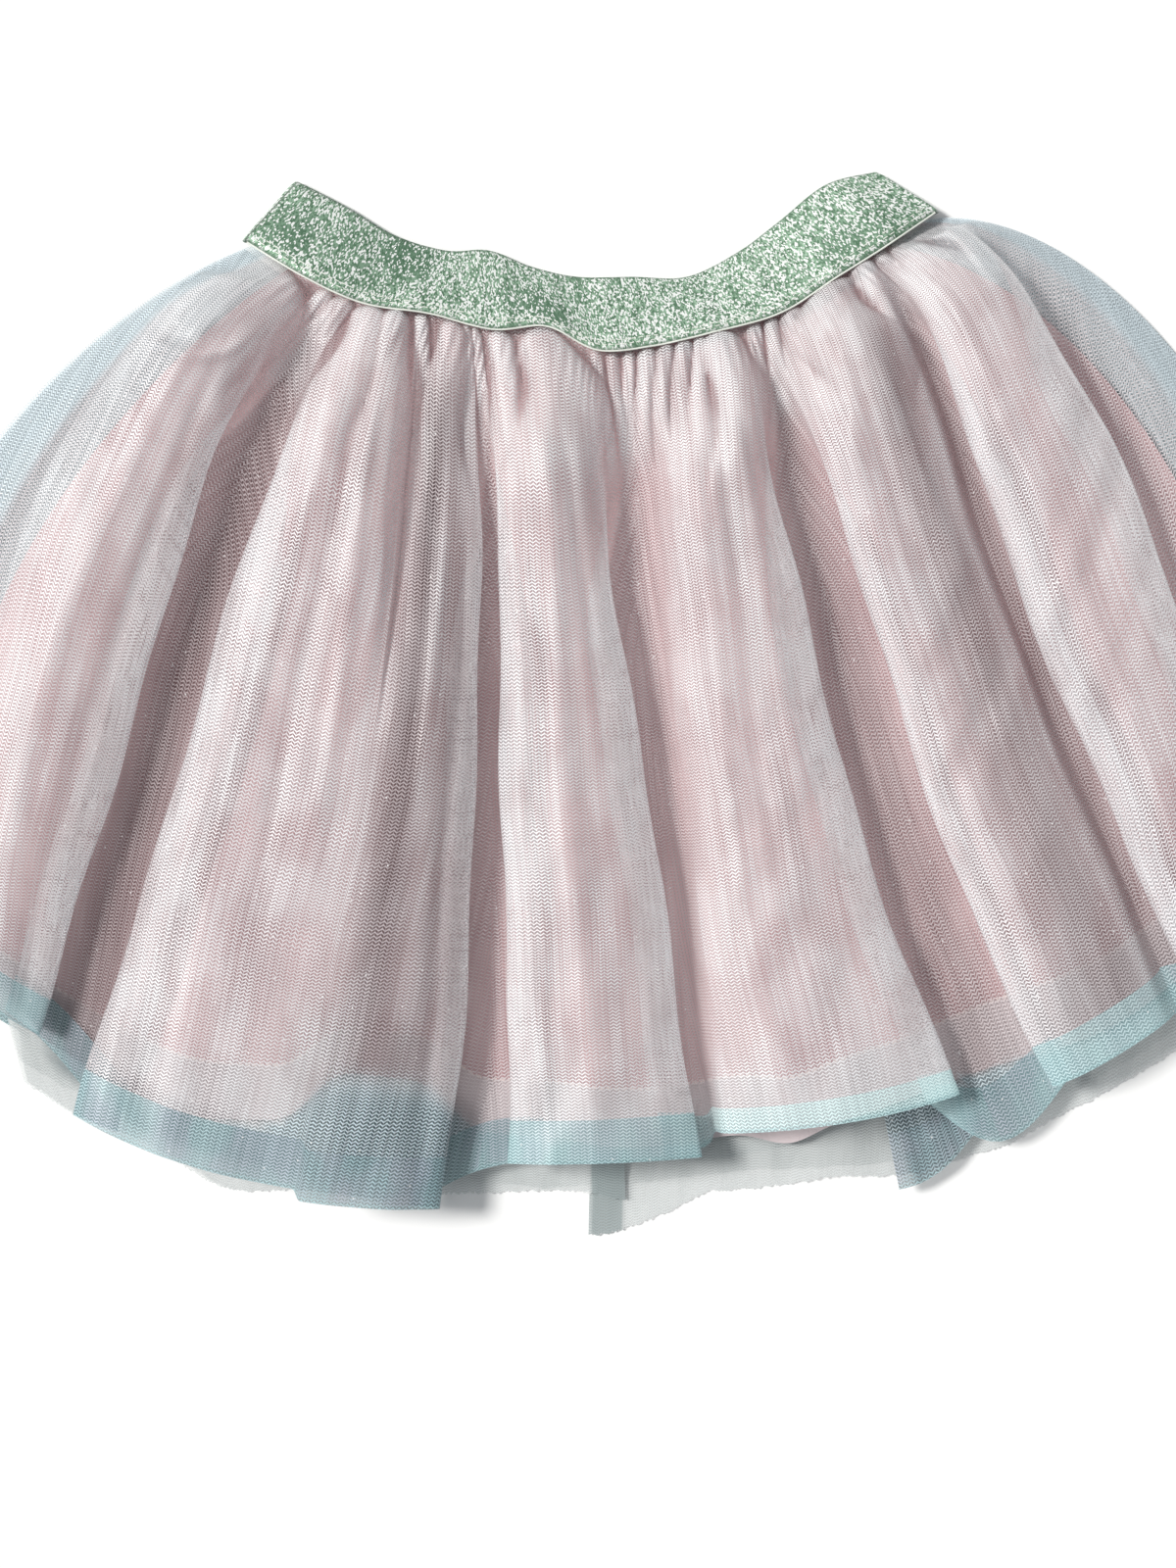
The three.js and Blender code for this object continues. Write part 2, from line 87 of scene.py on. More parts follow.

# Folds of the front tulle, left to right: x of the edges and height of the crown at waist, halfway and
# hem, the tucks at the edges, how far the fold's and the next valley's hem hang below the even hem, the
# share of the crown that the next valley's floor is raised by, how light the hems of both look, which is
# partly painted shade, how far the crown leans to the right, as a share of the fold's width, and its own
# values for FLANK_LIT, the painted highlight on its left flank, and CROWN_GROWN
FOLDS = [
    dict(left=(-114.5, -196, -224), right=(-98.3, -152.5, -191.5), crown=(1.6, 22, 18),
         tucks=(0, 12), drop=-9, valley_drop=-6, hem_light=(0.5, 0.1)),
    dict(left=(-81.1, -136.3, -180.1), right=(-61.5, -80, -106), crown=(1.8, 23, 20),
         tucks=(14, 0), drop=12, valley_drop=14, valley_up=(0, 0.97, 1), hem_light=(0.25, 0.15),
         lean=0.2),
    dict(left=(-56, -71, -98), right=(-41.4, -37.6, -51.4), crown=(1.6, 23, 20),
         tucks=(0, 10), drop=16, valley_drop=2, hem_light=(0.1, 0.3),
         lit=0, grown=0.5),
    dict(left=(-34.5, -29.3, -28.6), right=(0, 19, 42.1), crown=(2, 21, 19),
         tucks=(11, 12), drop=0, valley_drop=-2, hem_light=(0.5, 0.8)),
    dict(left=(31.1, 35.5, 50), right=(55.2, 84.2, 132.1), crown=(1.8, 20, 20),
         tucks=(0, 11), drop=-8, valley_drop=24, hem_light=(1.0, 0.0)),
    dict(left=(69, 105.6, 163.9), right=(98, 145, 205), crown=(1.6, 16, 15),
         tucks=(7, 0), drop=2, valley_drop=6, valley_up=(0, 0.2, 0.3), hem_light=(0.6, 0.3)),
    dict(left=(105.2, 152.1, 215.6), right=(117, 189, 244), crown=(1.4, 20, 17),
         tucks=(8, 8), drop=7, valley_drop=6, hem_light=(0.8, 0.8)),
]

# Section of a fold, edge to edge: which edge, share of tuck, share of the slope, share across, share up
FOLD_SECTION = [
    (0, 1, 0.42, 0, 0),
    (0, 1.25, 0.26, 0, 0.15),
    (0, 0.5, 0.12, 0, 0.37),
    (0, -0.2, 0, 0, 0.54),
    (0, 0, 0, 0.08, 0.78),
    (0, 0, 0, 0.24, 0.96),
    (0, 0, 0, 0.46, 1.03),
    (1, 0, 0, 0.29, 0.92),
    (1, 0, 0, 0.09, 0.73),
    (1, -0.2, 0, 0, 0.52),
    (1, 0.5, 0.12, 0, 0.35),
    (1, 1.25, 0.26, 0, 0.14),
    (1, 1, 0.42, 0, 0),
]

# Heights of the panels at the waist, in the body and at the side edges
TULLE = dict(waist=7.8, body=11.0, side=2.4)
LINING = dict(waist=6.3, body=8.6, side=3.4)
NET = dict(waist=4.8, body=4.9)
NET_BACK, LINING_BACK, TULLE_BACK = 3.4, 2.0, 0.5
NET_OVERLAP = 12.4
BAND = dict(low=13.6, low_at_fold=7.4, top=2.6, back=0.6)

# Long soft creases that the crowns of the folds carry: x at waist, halfway and hem, width, height and
# the span of down that each covers
CREASES = [
    (-108, -178, -208, 5, 1.6, 0.05, 0.9),
    (-103, -164, -199, 4, -1.3, 0.1, 1.1),
    (-76, -118, -150, 7, 1.6, 0.0, 1.1),
    (-70, -104, -128, 6, -1.8, 0.04, 0.8),
    (-65, -90, -104, 5, 1.5, 0.0, 0.7),
    (-50, -55, -76, 4, 1.6, 0.0, 0.6),
    (-45, -46, -62, 3.5, -1.3, 0.1, 1.1),
    (-27, -19, -14, 5, -1.4, 0.02, 0.75),
    (-19, -7, 2, 5, 1.5, 0.0, 1.1),
    (-9, 6, 22, 5, -1.3, 0.0, 0.6),
    (36, 47, 72, 6, 1.6, 0.0, 1.1),
    (43, 59, 92, 5, -1.7, 0.05, 0.8),
    (49, 70, 112, 5, 1.5, 0.0, 0.7),
    (76, 116, 175, 5, 1.4, 0.0, 1.1),
    (84, 127, 188, 5, -1.4, 0.02, 0.8),
    (91, 136, 197, 4, 1.3, 0.0, 0.6),
    (109, 165, 226, 5, 1.3, 0.05, 1.1),
]

# Puffs of the gathers under the elastic: x on the seam, half width, height, and the share of the way to
# the hem at which each has faded
PUFFS = [
    (-107.3, 10.5, 6.0, 0.26),
    (-92.4, 3.0, 2.2, 0.05),
    (-85.8, 4.2, 3.6, 0.08),
    (-75.4, 6.6, 5.0, 0.24),
    (-65.0, 5.2, 5.4, 0.20),
    (-57.4, 2.8, 2.6, 0.10),
    (-48.7, 5.6, 4.8, 0.22),
    (-42.8, 2.2, 2.4, 0.08),
    (-38.6, 2.2, 2.0, 0.10),
    (-31.3, 5.0, 4.0, 0.15),
    (-12.9, 15.0, 7.5, 0.30),
    (4.6, 2.4, 1.2, 0.10),
    (10.3, 2.4, 2.2, 0.12),
    (14.8, 2.4, 2.4, 0.10),
    (20.4, 3.8, 4.2, 0.20),
    (27.2, 3.8, 4.4, 0.16),
    (33.9, 3.6, 3.6, 0.13),
    (39.6, 2.8, 2.6, 0.18),
    (49.0, 7.6, 6.2, 0.26),
    (59.2, 2.9, 2.4, 0.09),
    (64.4, 2.8, 2.4, 0.12),
    (70.7, 4.0, 3.4, 0.10),
    (84.9, 11.0, 6.8, 0.30),
    (98.4, 4.4, 4.0, 0.17),
    (104.4, 2.8, 2.6, 0.09),
    (110.2, 3.4, 3.2, 0.13),
    (117.6, 4.6, 4.4, 0.20),
]

# Painted shade on the sides of the folds that face away from the light: x at waist, halfway and hem,
# width and amount
DIM_SIDES = [
    (-101, -163, -200, 12, 0.3),
    (-88, -141.5, -184, 15, 0.8),
    (-48, -64, -80, 15, 1.0),
    (-45, -49, -60, 18, 0.7),
    (-6, 14, 34, 12, 0.2),
    (63, 96, 147, 12, 0.55),
    (92, 136, 193, 15, 0.75),
    (102, 149, 211, 9, 0.7),
]


def mix(a, b, t):
    return a + (b - a) * t


def smooth(start, end, x):
    t = np.clip((np.asarray(x, float) - start) / (end - start), 0, 1)
    return t * t * (3 - 2 * t)


def down_to(values, down):
    """The parabola through values at the waist, halfway and at the hem."""
    waist, half, hem = values
    upper = waist * (2 * down * down - 3 * down + 1) + half * 4 * down * (1 - down)
    return upper + hem * down * (2 * down - 1)


def crown_at(fold, down):
    """Height of a fold's crown."""
    waist, half, hem = fold["crown"]
    lower = mix(half, hem, np.clip(2 * down - 1, 0, 1))
    return mix(waist, lower, smooth(0, fold.get("grown", CROWN_GROWN), down))


def bezier(points, t):
    """The cubic curve's x and y at t."""
    k = 1 - t
    return k ** 3 * points[0] + 3 * k * k * t * points[1] + 3 * k * t * t * points[2] + t ** 3 * points[3]


def through(values, s):
    """A smooth value through a list of numbers, with s from 0 at the first to 1 at the last."""
    values = np.asarray(values, float)
    last = len(values) - 1
    at = np.clip(s, 0, 1) * last
    i = np.minimum(np.floor(at).astype(int), last - 1)
    f = at - i
    a, b, c, d = [values[np.clip(i + k, 0, last)] for k in (-1, 0, 1, 2)]
    return b + 0.5 * f * (c - a + f * (2 * a - 5 * b + 4 * c - d + f * (3 * (b - c) + d - a)))


def tulle_edges(down):
    """X of the side edges of the tulle."""
    return bezier(LEFT_SIDE, down)[0], bezier(RIGHT_SIDE, down)[0]


SEAM_STEPS = np.linspace(0, 1, 400)
SEAM_X = through(BAND_SECTIONS[:, 0], SEAM_STEPS)
SEAM_Y = through(BAND_SECTIONS[:, 1], SEAM_STEPS)


def across_share(x, down):
    """The two ends of an even row, and how far across it x is, from 0 to 1."""
    a = bezier(LEFT_SIDE, down)
    b = bezier(RIGHT_SIDE, down)
    return a, b, np.clip((x - a[0]) / (b[0] - a[0]), 0, 1)


def even_row_y(x, down):
    """Y of a row without waves, which sags in the middle."""
    a, b, t = across_share(x, down)
    sag = (a[1] + b[1]) / 2 - (FRONT_MIDDLE - SKIRT_LENGTH * down)
    return mix(a[1], b[1], t) - sag * (1 - np.abs(2 * t - 1) ** (2 + down))


def row_y(x, down):
    """Y of a row across the skirt, with the waist seam's waves fading out down the skirt."""
    t = across_share(x, down)[2]
    at_waist = mix(LEFT_SIDE[0][0], RIGHT_SIDE[0][0], t)
    wave = np.interp(at_waist, SEAM_X, SEAM_Y) - even_row_y(at_waist, 0)
    return even_row_y(x, down) + wave * np.clip(1 - down, 0, 1) ** 2


def place(x, z, down, drop):
    """Points of a row, which hangs lower towards the hem by its drop."""
    return np.stack([x, row_y(x, down) - drop * down * down, z + 0 * x], axis=-1)


def level_at(level, down):
    """Height of a panel between its folds."""
    return mix(level["waist"], level["body"], smooth(0, 0.15, down))


def wander(down, seed):
    """How far a fold's edge strays from its even line."""
    stray = 1.1 * math.sin(9 * down + 2.1 * seed) + 0.6 * math.sin(23 * down + 1.7 * seed)
    return stray * smooth(0.1, 0.3, down)


def fold_edges(i, down):
    """X of the left and right edge of a fold."""
    left = down_to(FOLDS[i]["left"], down) + wander(down, i)
    right = down_to(FOLDS[i]["right"], down) + wander(down, i + 40)
    return left, right


def valley_up(i, down):
    """The share of the crown that the floor right of a fold is raised by."""
    return np.clip(down_to(FOLDS[i].get("valley_up", (0, 0, 0)), down), 0, 1)


def tulle_section(down):
    """The control points of the front tulle's section at one row: x, z, drop, share raised, light hem."""
    floor = level_at(TULLE, down)
    a, b = tulle_edges(down)
    tucked = smooth(*TUCKING, down)
    edges = [fold_edges(i, down) for i in range(len(FOLDS))]
    points = side_edge(a, edges[0][0], floor, FOLDS[0]["drop"], FOLDS[0]["hem_light"][0])
    for i, fold in enumerate(FOLDS):
        left, right = edges[i]
        after = edges[i + 1][0] if i + 1 < len(FOLDS) else b
        outside = (left - (edges[i - 1][1] if i else a), after - right)
        crown = crown_at(fold, down)
        foot = (valley_up(i - 1, down) if i else 0, valley_up(i, down))
        for edge, under, slope, across, up in FOLD_SECTION:
            tuck = fold["tucks"][edge] * tucked
            untucked = 1 - tucked if fold["tucks"][edge] else 1
            inward = under * tuck - slope * outside[edge] * untucked + across * (right - left)
            raised = mix(foot[edge], 1, up)
            x = right - inward if edge else left + inward
            x += fold.get("lean", 0) * 4 * across * (1 - across) * (right - left)
            points.append((x, floor + raised * crown, fold["drop"], raised, fold["hem_light"][0]))
        if i + 1 < len(FOLDS):
            points.append(((right + after) / 2, floor + foot[1] * crown, fold["valley_drop"], foot[1],
                           fold["hem_light"][1]))
    last = FOLDS[-1]
    right_side = side_edge(b, edges[-1][1], floor, last["valley_drop"], last["hem_light"][1])
    return np.array(points + right_side[::-1])


def side_edge(edge, fold, floor, drop, hem_light):
    """The three control points from a side edge of the skirt towards its first fold."""
    side = TULLE["side"]
    return [(edge, side, drop, 0, hem_light),
            (mix(edge, fold, 0.2), mix(side, floor, 0.5), drop, 0, hem_light),
            (mix(edge, fold, 0.4), floor, drop, 0, hem_light)]


def on_section(points, at):
    """Points of the uniform cubic B-spline through control points whose ends it meets."""
    padded = np.vstack([2 * points[0] - points[1], points, 2 * points[-1] - points[-2]])
    last = len(points) - 1
    i = np.minimum(np.floor(at).astype(int), last - 1)
    f = at - i
    weights = [(1 - f) ** 3, 3 * f ** 3 - 6 * f * f + 4, 3 * (f - f ** 3 + f * f) + 1, f ** 3]
    # The last control point but one past the end is repeated, since its weight there is nothing
    padded = np.vstack([padded, padded[-1:]])
    return sum((w / 6)[:, None] * padded[i + k] for k, w in enumerate(weights))


def side_share(x, down):
    """0 at the side edges of the skirt and 1 inside them, so that both edges stay at their own height."""
    t = across_share(x, down)[2]
    reach_in = 0.1 * (1 - smooth(0.0, 0.12, down))
    return smooth(0, reach_in + 0.001, np.minimum(t, 1 - t))


def at_seam(x, down):
    """The place on the waist seam that a point of the front tulle hangs from, which follows the folds."""
    def edges(step):
        folds = [down_to(fold[side], step) for fold in FOLDS for side in ("left", "right")]
        first, last = tulle_edges(step)
        return [first, *folds, last]

    return np.interp(x, edges(down), edges(0))


def gather_lift(x, down):
    """Height added by the gathers at the waist, puffs with round tops and fine ribs that fade out sooner,
    how far up a puff each point is, and how deep in the gap between two puffs, which sets the painted
    shade there."""
    seam_x = at_seam(x, down)
    below = max(0.0, down * SKIRT_LENGTH)
    lift = 0 * x
    rise = 0 * x
    full = 0 * x
    for middle, half, height, reach in PUFFS:
        sway = 0.35 * half * math.sin(middle + 26 * down)
        across = (seam_x - middle - sway) / half
        before_top = 1 - min(1.0, below / (0.8 * half + 1.0))
        round_top = np.sqrt(np.clip(1 - across ** 2 - before_top ** 2, 0, 1))
        left = 1 - smooth(0.3 * reach, reach, down)
        lift = np.maximum(lift, 1.4 * height * round_top * left)
        rise = np.maximum(rise, round_top)
        full = np.maximum(full, np.sqrt(np.clip(1 - across ** 2, 0, 1)))
    t = across_share(x, down)[2]
    inside = smooth(0.0, 0.03, t) * smooth(0.0, 0.03, 1 - t)
    fine_phase = 2 * math.pi * 83 * (t + 0.004 * np.sin(83 * t + 2))
    fine = 0.35 * (1 - np.cos(fine_phase)) * (1 - smooth(0.02, 0.1, down)) * (0.2 + smooth(0, 0.03, down))
    # The depth in the gap sets the painted shade between the puffs
    gap = (1 - full) ** 1.3 * smooth(0, 0.006, down) * (1 - smooth(0.05, 0.2, down)) * inside
    return (lift + fine) * inside, rise * inside, gap


def dim_side(x, down):
    """How much painted shade the cloth has, from 0 to 1, in and under the sides of folds that face away from
    the light.
    """
    dim = 0 * x
    for *line, width, amount in DIM_SIDES:
        spread = width * (0.3 + 0.7 * down)
        dim = np.maximum(dim, amount * np.exp(-((x - down_to(line, down)) / spread) ** 2))
    return dim * smooth(0.0, 0.14, down)


def rim(x, up, down):
    """How close each point is, from 1 to 0, to a fold's right rim, where the folded net is seen edge on and
    is painted whiter as a highlight, or to its lit left flank, which has a painted highlight too."""
    share = 0 * x
    for i, fold in enumerate(FOLDS):
        left, right = fold_edges(i, down)
        flank = 0.14 * (right - left)
        open_edge = 1 - valley_up(i, down)
        share = np.maximum(share, open_edge * np.exp(-((x - right) / 1.4) ** 2))
        lit_side = np.exp(-((x - left - 0.7 * flank) / flank) ** 2)
        share = np.maximum(share, fold.get("lit", FLANK_LIT) * lit_side)
    return share * smooth(0.3, 0.45, up) * smooth(0.03, 0.12, down)


def dimples(x, down):
    """Shallow uneven hollows in the cloth of the folds."""
    slow = np.sin(x / 8.3 + 4 * np.sin(7 * down + x / 61)) * np.sin(21 * down + x / 23 + 1.3)
    quick = np.sin(x / 4.1 + 5 * np.sin(11 * down)) * np.sin(37 * down + x / 13)
    return (0.8 * slow + 0.3 * quick) * smooth(0.06, 0.25, down)


def crease_lift(x, down):
    """Height added by the long creases on the crowns, which stay clear of the waist seam."""
    lift = 0 * x
    for *line, width, height, first, last in CREASES:
        middle = down_to(line, down) + 1.5 * np.sin(9 * down + line[0])
        spread = width * (0.35 + 0.65 * down)
        span = smooth(first - 0.02, first + 0.14, down) * (1 - smooth(last - 0.2, last, down))
        lift = lift + height * span * np.exp(-((x - middle) / spread) ** 2)
    return lift * smooth(0.02, 0.2, down)


def curved_crease(x, y):
    """A crease on the left that curves like a smile from one fold to the next."""
    along = (x + 135.5) / 15
    from_line = y - (147.2 + 5.5 * along ** 2)
    ridge = 2.4 * np.exp(-(from_line / 1.8) ** 2)
    trough = 1.6 * np.exp(-((from_line - 6) / 3.5) ** 2)
    return (ridge - trough) * np.exp(-along ** 4)


def swell(x, down, share):
    """Height of the swellings of an inner panel under the wide folds, which fill a share of their crowns."""
    lift = 0 * x
    for fold in FOLDS:
        if fold["right"][2] - fold["left"][2] <= WIDE_FOLD:
            continue
        left = down_to(fold["left"], down)
        right = down_to(fold["right"], down)
        tuck = max(fold["tucks"]) * 1.25 * smooth(*TUCKING, down)
        half = max(1, (right - left) / 2 - tuck - 3)
        t = np.minimum(np.abs(x - (left + right) / 2) / half, 1)
        lift = lift + min(share * crown_at(fold, down), 0.3 * half) * (1 - t * t) ** 2
    return lift


def lining_edges(down):
    """X of the linings' side edges."""
    left, right = tulle_edges(down)
    return left + down_to((13, 21, 30), down), right - down_to((13, 16, 22), down)


def net_edges(down):
    """X of the under-net's side edges, which lie further in than the linings'."""
    left, right = lining_edges(down)
    inset = mix(12, 24, down)
    return left + inset, right - inset


def lining_wave(x):
    """How far the hem of both linings strays from its even row."""
    return 3 * np.sin(x / 31 + 0.6) + 1.5 * np.sin(x / 13)


def caught_up(x):
    """The part of the front lining's hem, under the second left fold, that is caught up, from 0 to 1."""
    return np.exp(-((x + 72) / 27) ** 4)


def lining_drop(x, down):
    """How far the front lining hangs below its even rows: it shows below the middle right fold, and is
    caught up under the second left fold."""
    peek = 7 * np.exp(-((x - 72) / 13) ** 2) * smooth(0.7, 1, down)
    return lining_wave(x) + peek - 21 * caught_up(x) * smooth(0.55, 0.95, down)


def jagged(x, seed):
    """The raw edge of a cut net: small uneven teeth on slow wandering cuts."""
    rng = np.random.default_rng(seed)
    edge = 0 * x
    for size, count in ((1.0, 41), (0.6, 1001)):
        edge = edge + np.interp(x, np.linspace(-300, 300, count), rng.uniform(-size, size, count))
    return edge


# Meshes

def linked(name, data):
    """A new object in the scene."""
    made = bpy.data.objects.new(name, data)
    bpy.context.scene.collection.objects.link(made)
    return made


def new_object(name, points, faces):
    """A smooth object from points of the layout."""
    moved = (np.asarray(points).reshape(-1, 3) - np.array([*LAYOUT_MIDDLE, 0])) * MM
    mesh = bpy.data.meshes.new(name)
    mesh.from_pydata(moved.tolist(), [], faces)
    mesh.polygons.foreach_set("use_smooth", [True] * len(mesh.polygons))
    return linked(name, mesh)


def add_uv(made, name, corners):
    """A UV map from two values for each corner of each face."""
    made.data.uv_layers.new(name=name).data.foreach_set("uv", corners.reshape(-1))


def cloth_mesh(name, rows, downs, across_mm, tones=(), shift=0.0):
    """A cloth grid in the row frame with a UV map in millimetres: across the cloth, and up from its hem.
    Each of tones is a name and two grids of values for its look, kept as one more UV map. The shift, one
    value for each row and strip of faces, is taken off the distance across."""
    height, width = rows.shape[:2]
    index = np.arange(height * width).reshape(height, width)
    faces = np.stack([index[:-1, :-1], index[1:, :-1], index[1:, 1:], index[:-1, 1:]], axis=-1).reshape(-1, 4)
    made = new_object(name, rows, faces.tolist())
    up = (downs[-1] - downs) * SKIRT_LENGTH
    grid = np.stack([np.broadcast_to(across_mm, (height, width)), np.repeat(up[:, None], width, 1)], axis=-1)
    corners = grid.reshape(-1, 2)[faces.reshape(-1)].reshape(height - 1, width - 1, 4, 2)
    shift = np.broadcast_to(shift, (height, width - 1))
    corners[:, :, (0, 3), 0] -= shift[:-1, :, None]
    corners[:, :, (1, 2), 0] -= shift[1:, :, None]
    add_uv(made, "cloth", corners)
    for tone, first, second in tones:
        grid = np.stack([first, second], axis=-1)
        add_uv(made, tone, grid.reshape(-1, 2)[faces.reshape(-1)])
    return made


def arc_length(row):
    """The distance along a row of points up to each of them."""
    steps = np.linalg.norm(np.diff(row, axis=0), axis=1)
    return np.concatenate([[0], np.cumsum(steps)])


def sew(piece, material):
    """Gives a piece its material and slot."""
    piece.data.materials.append(material)
    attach(piece, "root")
    return piece


def dress(piece, material, nodes):
    """Sews a piece that takes the place of solids."""
    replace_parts(sew(piece, material), *nodes)
    return piece


def off_lining(x, y):
    """1 where the front lining doesn't lie under a point of the layout, and 0 where it does."""
    steps = np.linspace(1, 0, 50)
    edges = np.array([lining_edges(step) for step in steps])
    left = np.interp(y, [bezier(LEFT_SIDE, step)[1] for step in steps], edges[:, 0])
    right = np.interp(y, [bezier(RIGHT_SIDE, step)[1] for step in steps], edges[:, 1])
    beside = smooth(-3, 3, np.maximum(left - x, x - right))
    hem = row_y(x, LINING_HEM) - lining_drop(x, LINING_HEM) * LINING_HEM ** 2
    soft = 1 + 7 * caught_up(x)
    below = smooth(-1, 1, (hem - y) / soft)
    return np.maximum(beside, below)


def relief(across, z, reach):
    """How far each point of a row stands above the mean of its neighbourhood, in millimetres."""
    step = 0.5
    even = np.arange(0, across[-1], step)
    heights = np.interp(even, across, z)
    half = int(reach / step)
    sums = np.concatenate([[0], np.cumsum(np.pad(heights, half, mode="edge"))])
    mean = (sums[2 * half + 1:] - sums[:-2 * half - 1]) / (2 * half + 1)
    return z - np.interp(across, even, mean)


CREST_SPACING = 97.3  # between the crests of two folds on the UV map, so that each has other streaks


def crest_shift(across, downs):
    """For each row and strip of faces of the front tulle, the distance across at the crest of its fold, so
    that the net runs along the crests and its columns end in the valleys, as gathered cloth does."""
    width = across.shape[1]
    size = len(FOLD_SECTION) + 1  # control points from one fold to the next
    at = np.linspace(0, 3 + size * len(FOLDS) - 1 + 3 - 1, width)
    middles = (at[1:] + at[:-1]) / 2
    fold = np.clip(np.floor((middles - 2) / size), 0, len(FOLDS) - 1).astype(int)
    # A fold that the one before runs into shares its crest, but for the part near the waist
    merged = np.array([i - 1 if i and valley_up(i - 1, 1) == 1 else i for i in range(len(FOLDS))])
    crests = 3 + size * np.arange(len(FOLDS)) + 6
    own = np.array([np.interp(crests, at, row) for row in across])
    shared = own[:, merged]
    joined = np.argmin(np.abs(downs - 0.3))
    own = own - (own - shared)[joined]
    crest_across = mix(own, shared, smooth(0.1, 0.4, downs)[:, None])
    return (crest_across - CREST_SPACING * merged)[:, fold]


def tulle_dim(x, z, across, up, gap, down):
    """How much painted shade the front tulle has. It is 1 in hollows, where shade falls, and on the sides
    that face away from the light, and below 0 on ridges and rims, where the net is bunched and whiter and
    has a painted highlight."""
    lower = smooth(0, 0.3, down)
    stands = relief(across, z, mix(3.5, 7, lower)) / mix(1.3, 3.0, lower)
    # Painted shade in the hollows; the ridges get a painted highlight, and are partly the bunched net
    hollow = np.clip(-stands, 0, 1) * 0.9
    ridge = np.clip(stands - 0.1, 0, 1) * mix(0.4, 0.7, smooth(0.05, 0.3, down))
    # Painted shade on the tulle over the caught-up part of the lining
    off_the_lining = 0.7 * caught_up(x) * smooth(0.76, 0.92, down)
    # gap is the painted shade between the puffs of the gathers
    dark = np.maximum.reduce([dim_side(x, down), off_the_lining, gap, hollow])
    return dark - np.maximum(0.9 * rim(x, up, down), ridge)


def tulle_front_row(down, columns):
    """One row of the front tulle: its points, its distances across, how raised it is, where no lining lies
    under it, how light its hem is, which is partly painted shade, and its painted shade and highlight. The
    distances run along the folds but not over the gathers, so that the net goes straight through these."""
    points = tulle_section(down)
    x, z, drop, up, hem_light = on_section(points, np.linspace(0, len(points) - 1, columns)).T
    gathers, rise, gap = gather_lift(x, down)
    on_crown = smooth(0.3, 0.8, (z - level_at(TULLE, down)) / 20)
    creases = (crease_lift(x, down) + dimples(x, down)) * on_crown
    lift = gathers + creases + curved_crease(x, row_y(x, down))
    inside = side_share(x, down)
    smooth_row = place(x, mix(TULLE["side"], z, inside), down, drop)
    z = mix(TULLE["side"], z + lift, inside)
    row = place(x, z, down, drop)
    raised = mix(rise, up, smooth(0.06, 0.2, down))
    dim = tulle_dim(x, z, arc_length(row), up, gap, down)
    return row, arc_length(smooth_row), raised, off_lining(x, row[:, 1]), hem_light, dim


def tulle_front():
    columns = 640
    steps = np.linspace(0, 1, 155)
    downs = mix(SEAM_DOWN, 1, mix(steps, steps ** 2, 0.5))  # closer rows at the gathers
    made = [tulle_front_row(down, columns) for down in downs]
    rows, across, raised, alone, light, dim = [np.array(values) for values in zip(*made)]
    # The second UV map carries how light the hems are, which is partly painted shade, and the painted shade
    # and highlight
    tones = [("lie", raised, alone), ("tint", light, dim)]
    return cloth_mesh("tulle_front_cloth", rows, downs, across, tones, crest_shift(across, downs))


def hanging_pleat():
    """A pleat of the front tulle that hangs out below the hem of the middle right fold."""
    downs = np.linspace(0, 1, 60)
    across, down = np.meshgrid(np.linspace(0, 1, 70), downs)
    x = mix(mix(103, 111.5, down), mix(127, 140.5, down), across)
    y = mix(mix(-104, -145.5, down), mix(-99, -123, down), across) - 5 * down * np.sin(math.pi * across)
    height = mix(6.9, 8.5, smooth(0.1, 0.5, down))  # its top lies under the lining
    z = height + 0.7 * np.sin(across * 5 + 1) + 0.4 * np.sin(across * 13)
    rows = np.stack([x, y, z], axis=-1)
    # A hem light of 0 paints the pleat with the shade of the darkest hems
    tones = [("lie", 0 * x + 0.3, 0 * x + 1), ("tint", 0 * x, 0 * x)]
    downs = downs * PLEAT_LENGTH / SKIRT_LENGTH
    return cloth_mesh("tulle_front_pleat", rows, downs, across * PLEAT_WIDTH, tones)


def panel(name, downs, columns, edges_at, row_at, even_row=60):
    """A panel whose cloth is measured across at its even row. For each row, row_at gives the height, the
    drop, and two tones or none."""
    rows = []
    tones = []
    for down in downs:
        left, right = edges_at(down)
        x = np.linspace(left, right, columns)
        z, drop, *tone = row_at(x, left, right, down)
        rows.append(place(x, z, down, drop))
        tones.append(tone)
    rows = np.array(rows)
    tints = [("tint", *np.array(tones).swapaxes(0, 1))] if tones[0] else []
    return cloth_mesh(name, rows, downs, arc_length(rows[even_row]), tints)


def lining_row(x, left, right, down):
    rise = mix(9, 17, np.clip(down, 0, 1))
    inside = smooth(0, rise, np.minimum(x - left, right - x))
    ripple = 0.35 * np.sin(x / 2.9 + 3 * np.sin(down * 7)) * smooth(0.02, 0.3, down) * inside
    z = mix(LINING["side"], level_at(LINING, down), inside) + swell(x, down, LINING_FILL) + ripple
    # Painted shade under the sides of the folds and on the caught-up part of the hem
    dim = np.maximum(dim_side(x, down), 0.85 * caught_up(x) * smooth(0.78, 0.92, down))
    return z, lining_drop(x, down), 0 * x, dim


def lining_front():
    downs = np.linspace(SEAM_DOWN, LINING_HEM, 90)
    return panel("lining_front_cloth", downs, 220, lining_edges, lining_row)


def droop(down):
    """The share of its height that a net keeps where it reaches past the panels below it."""
    return 1 - 0.7 * smooth(0.97, 1.04, down)


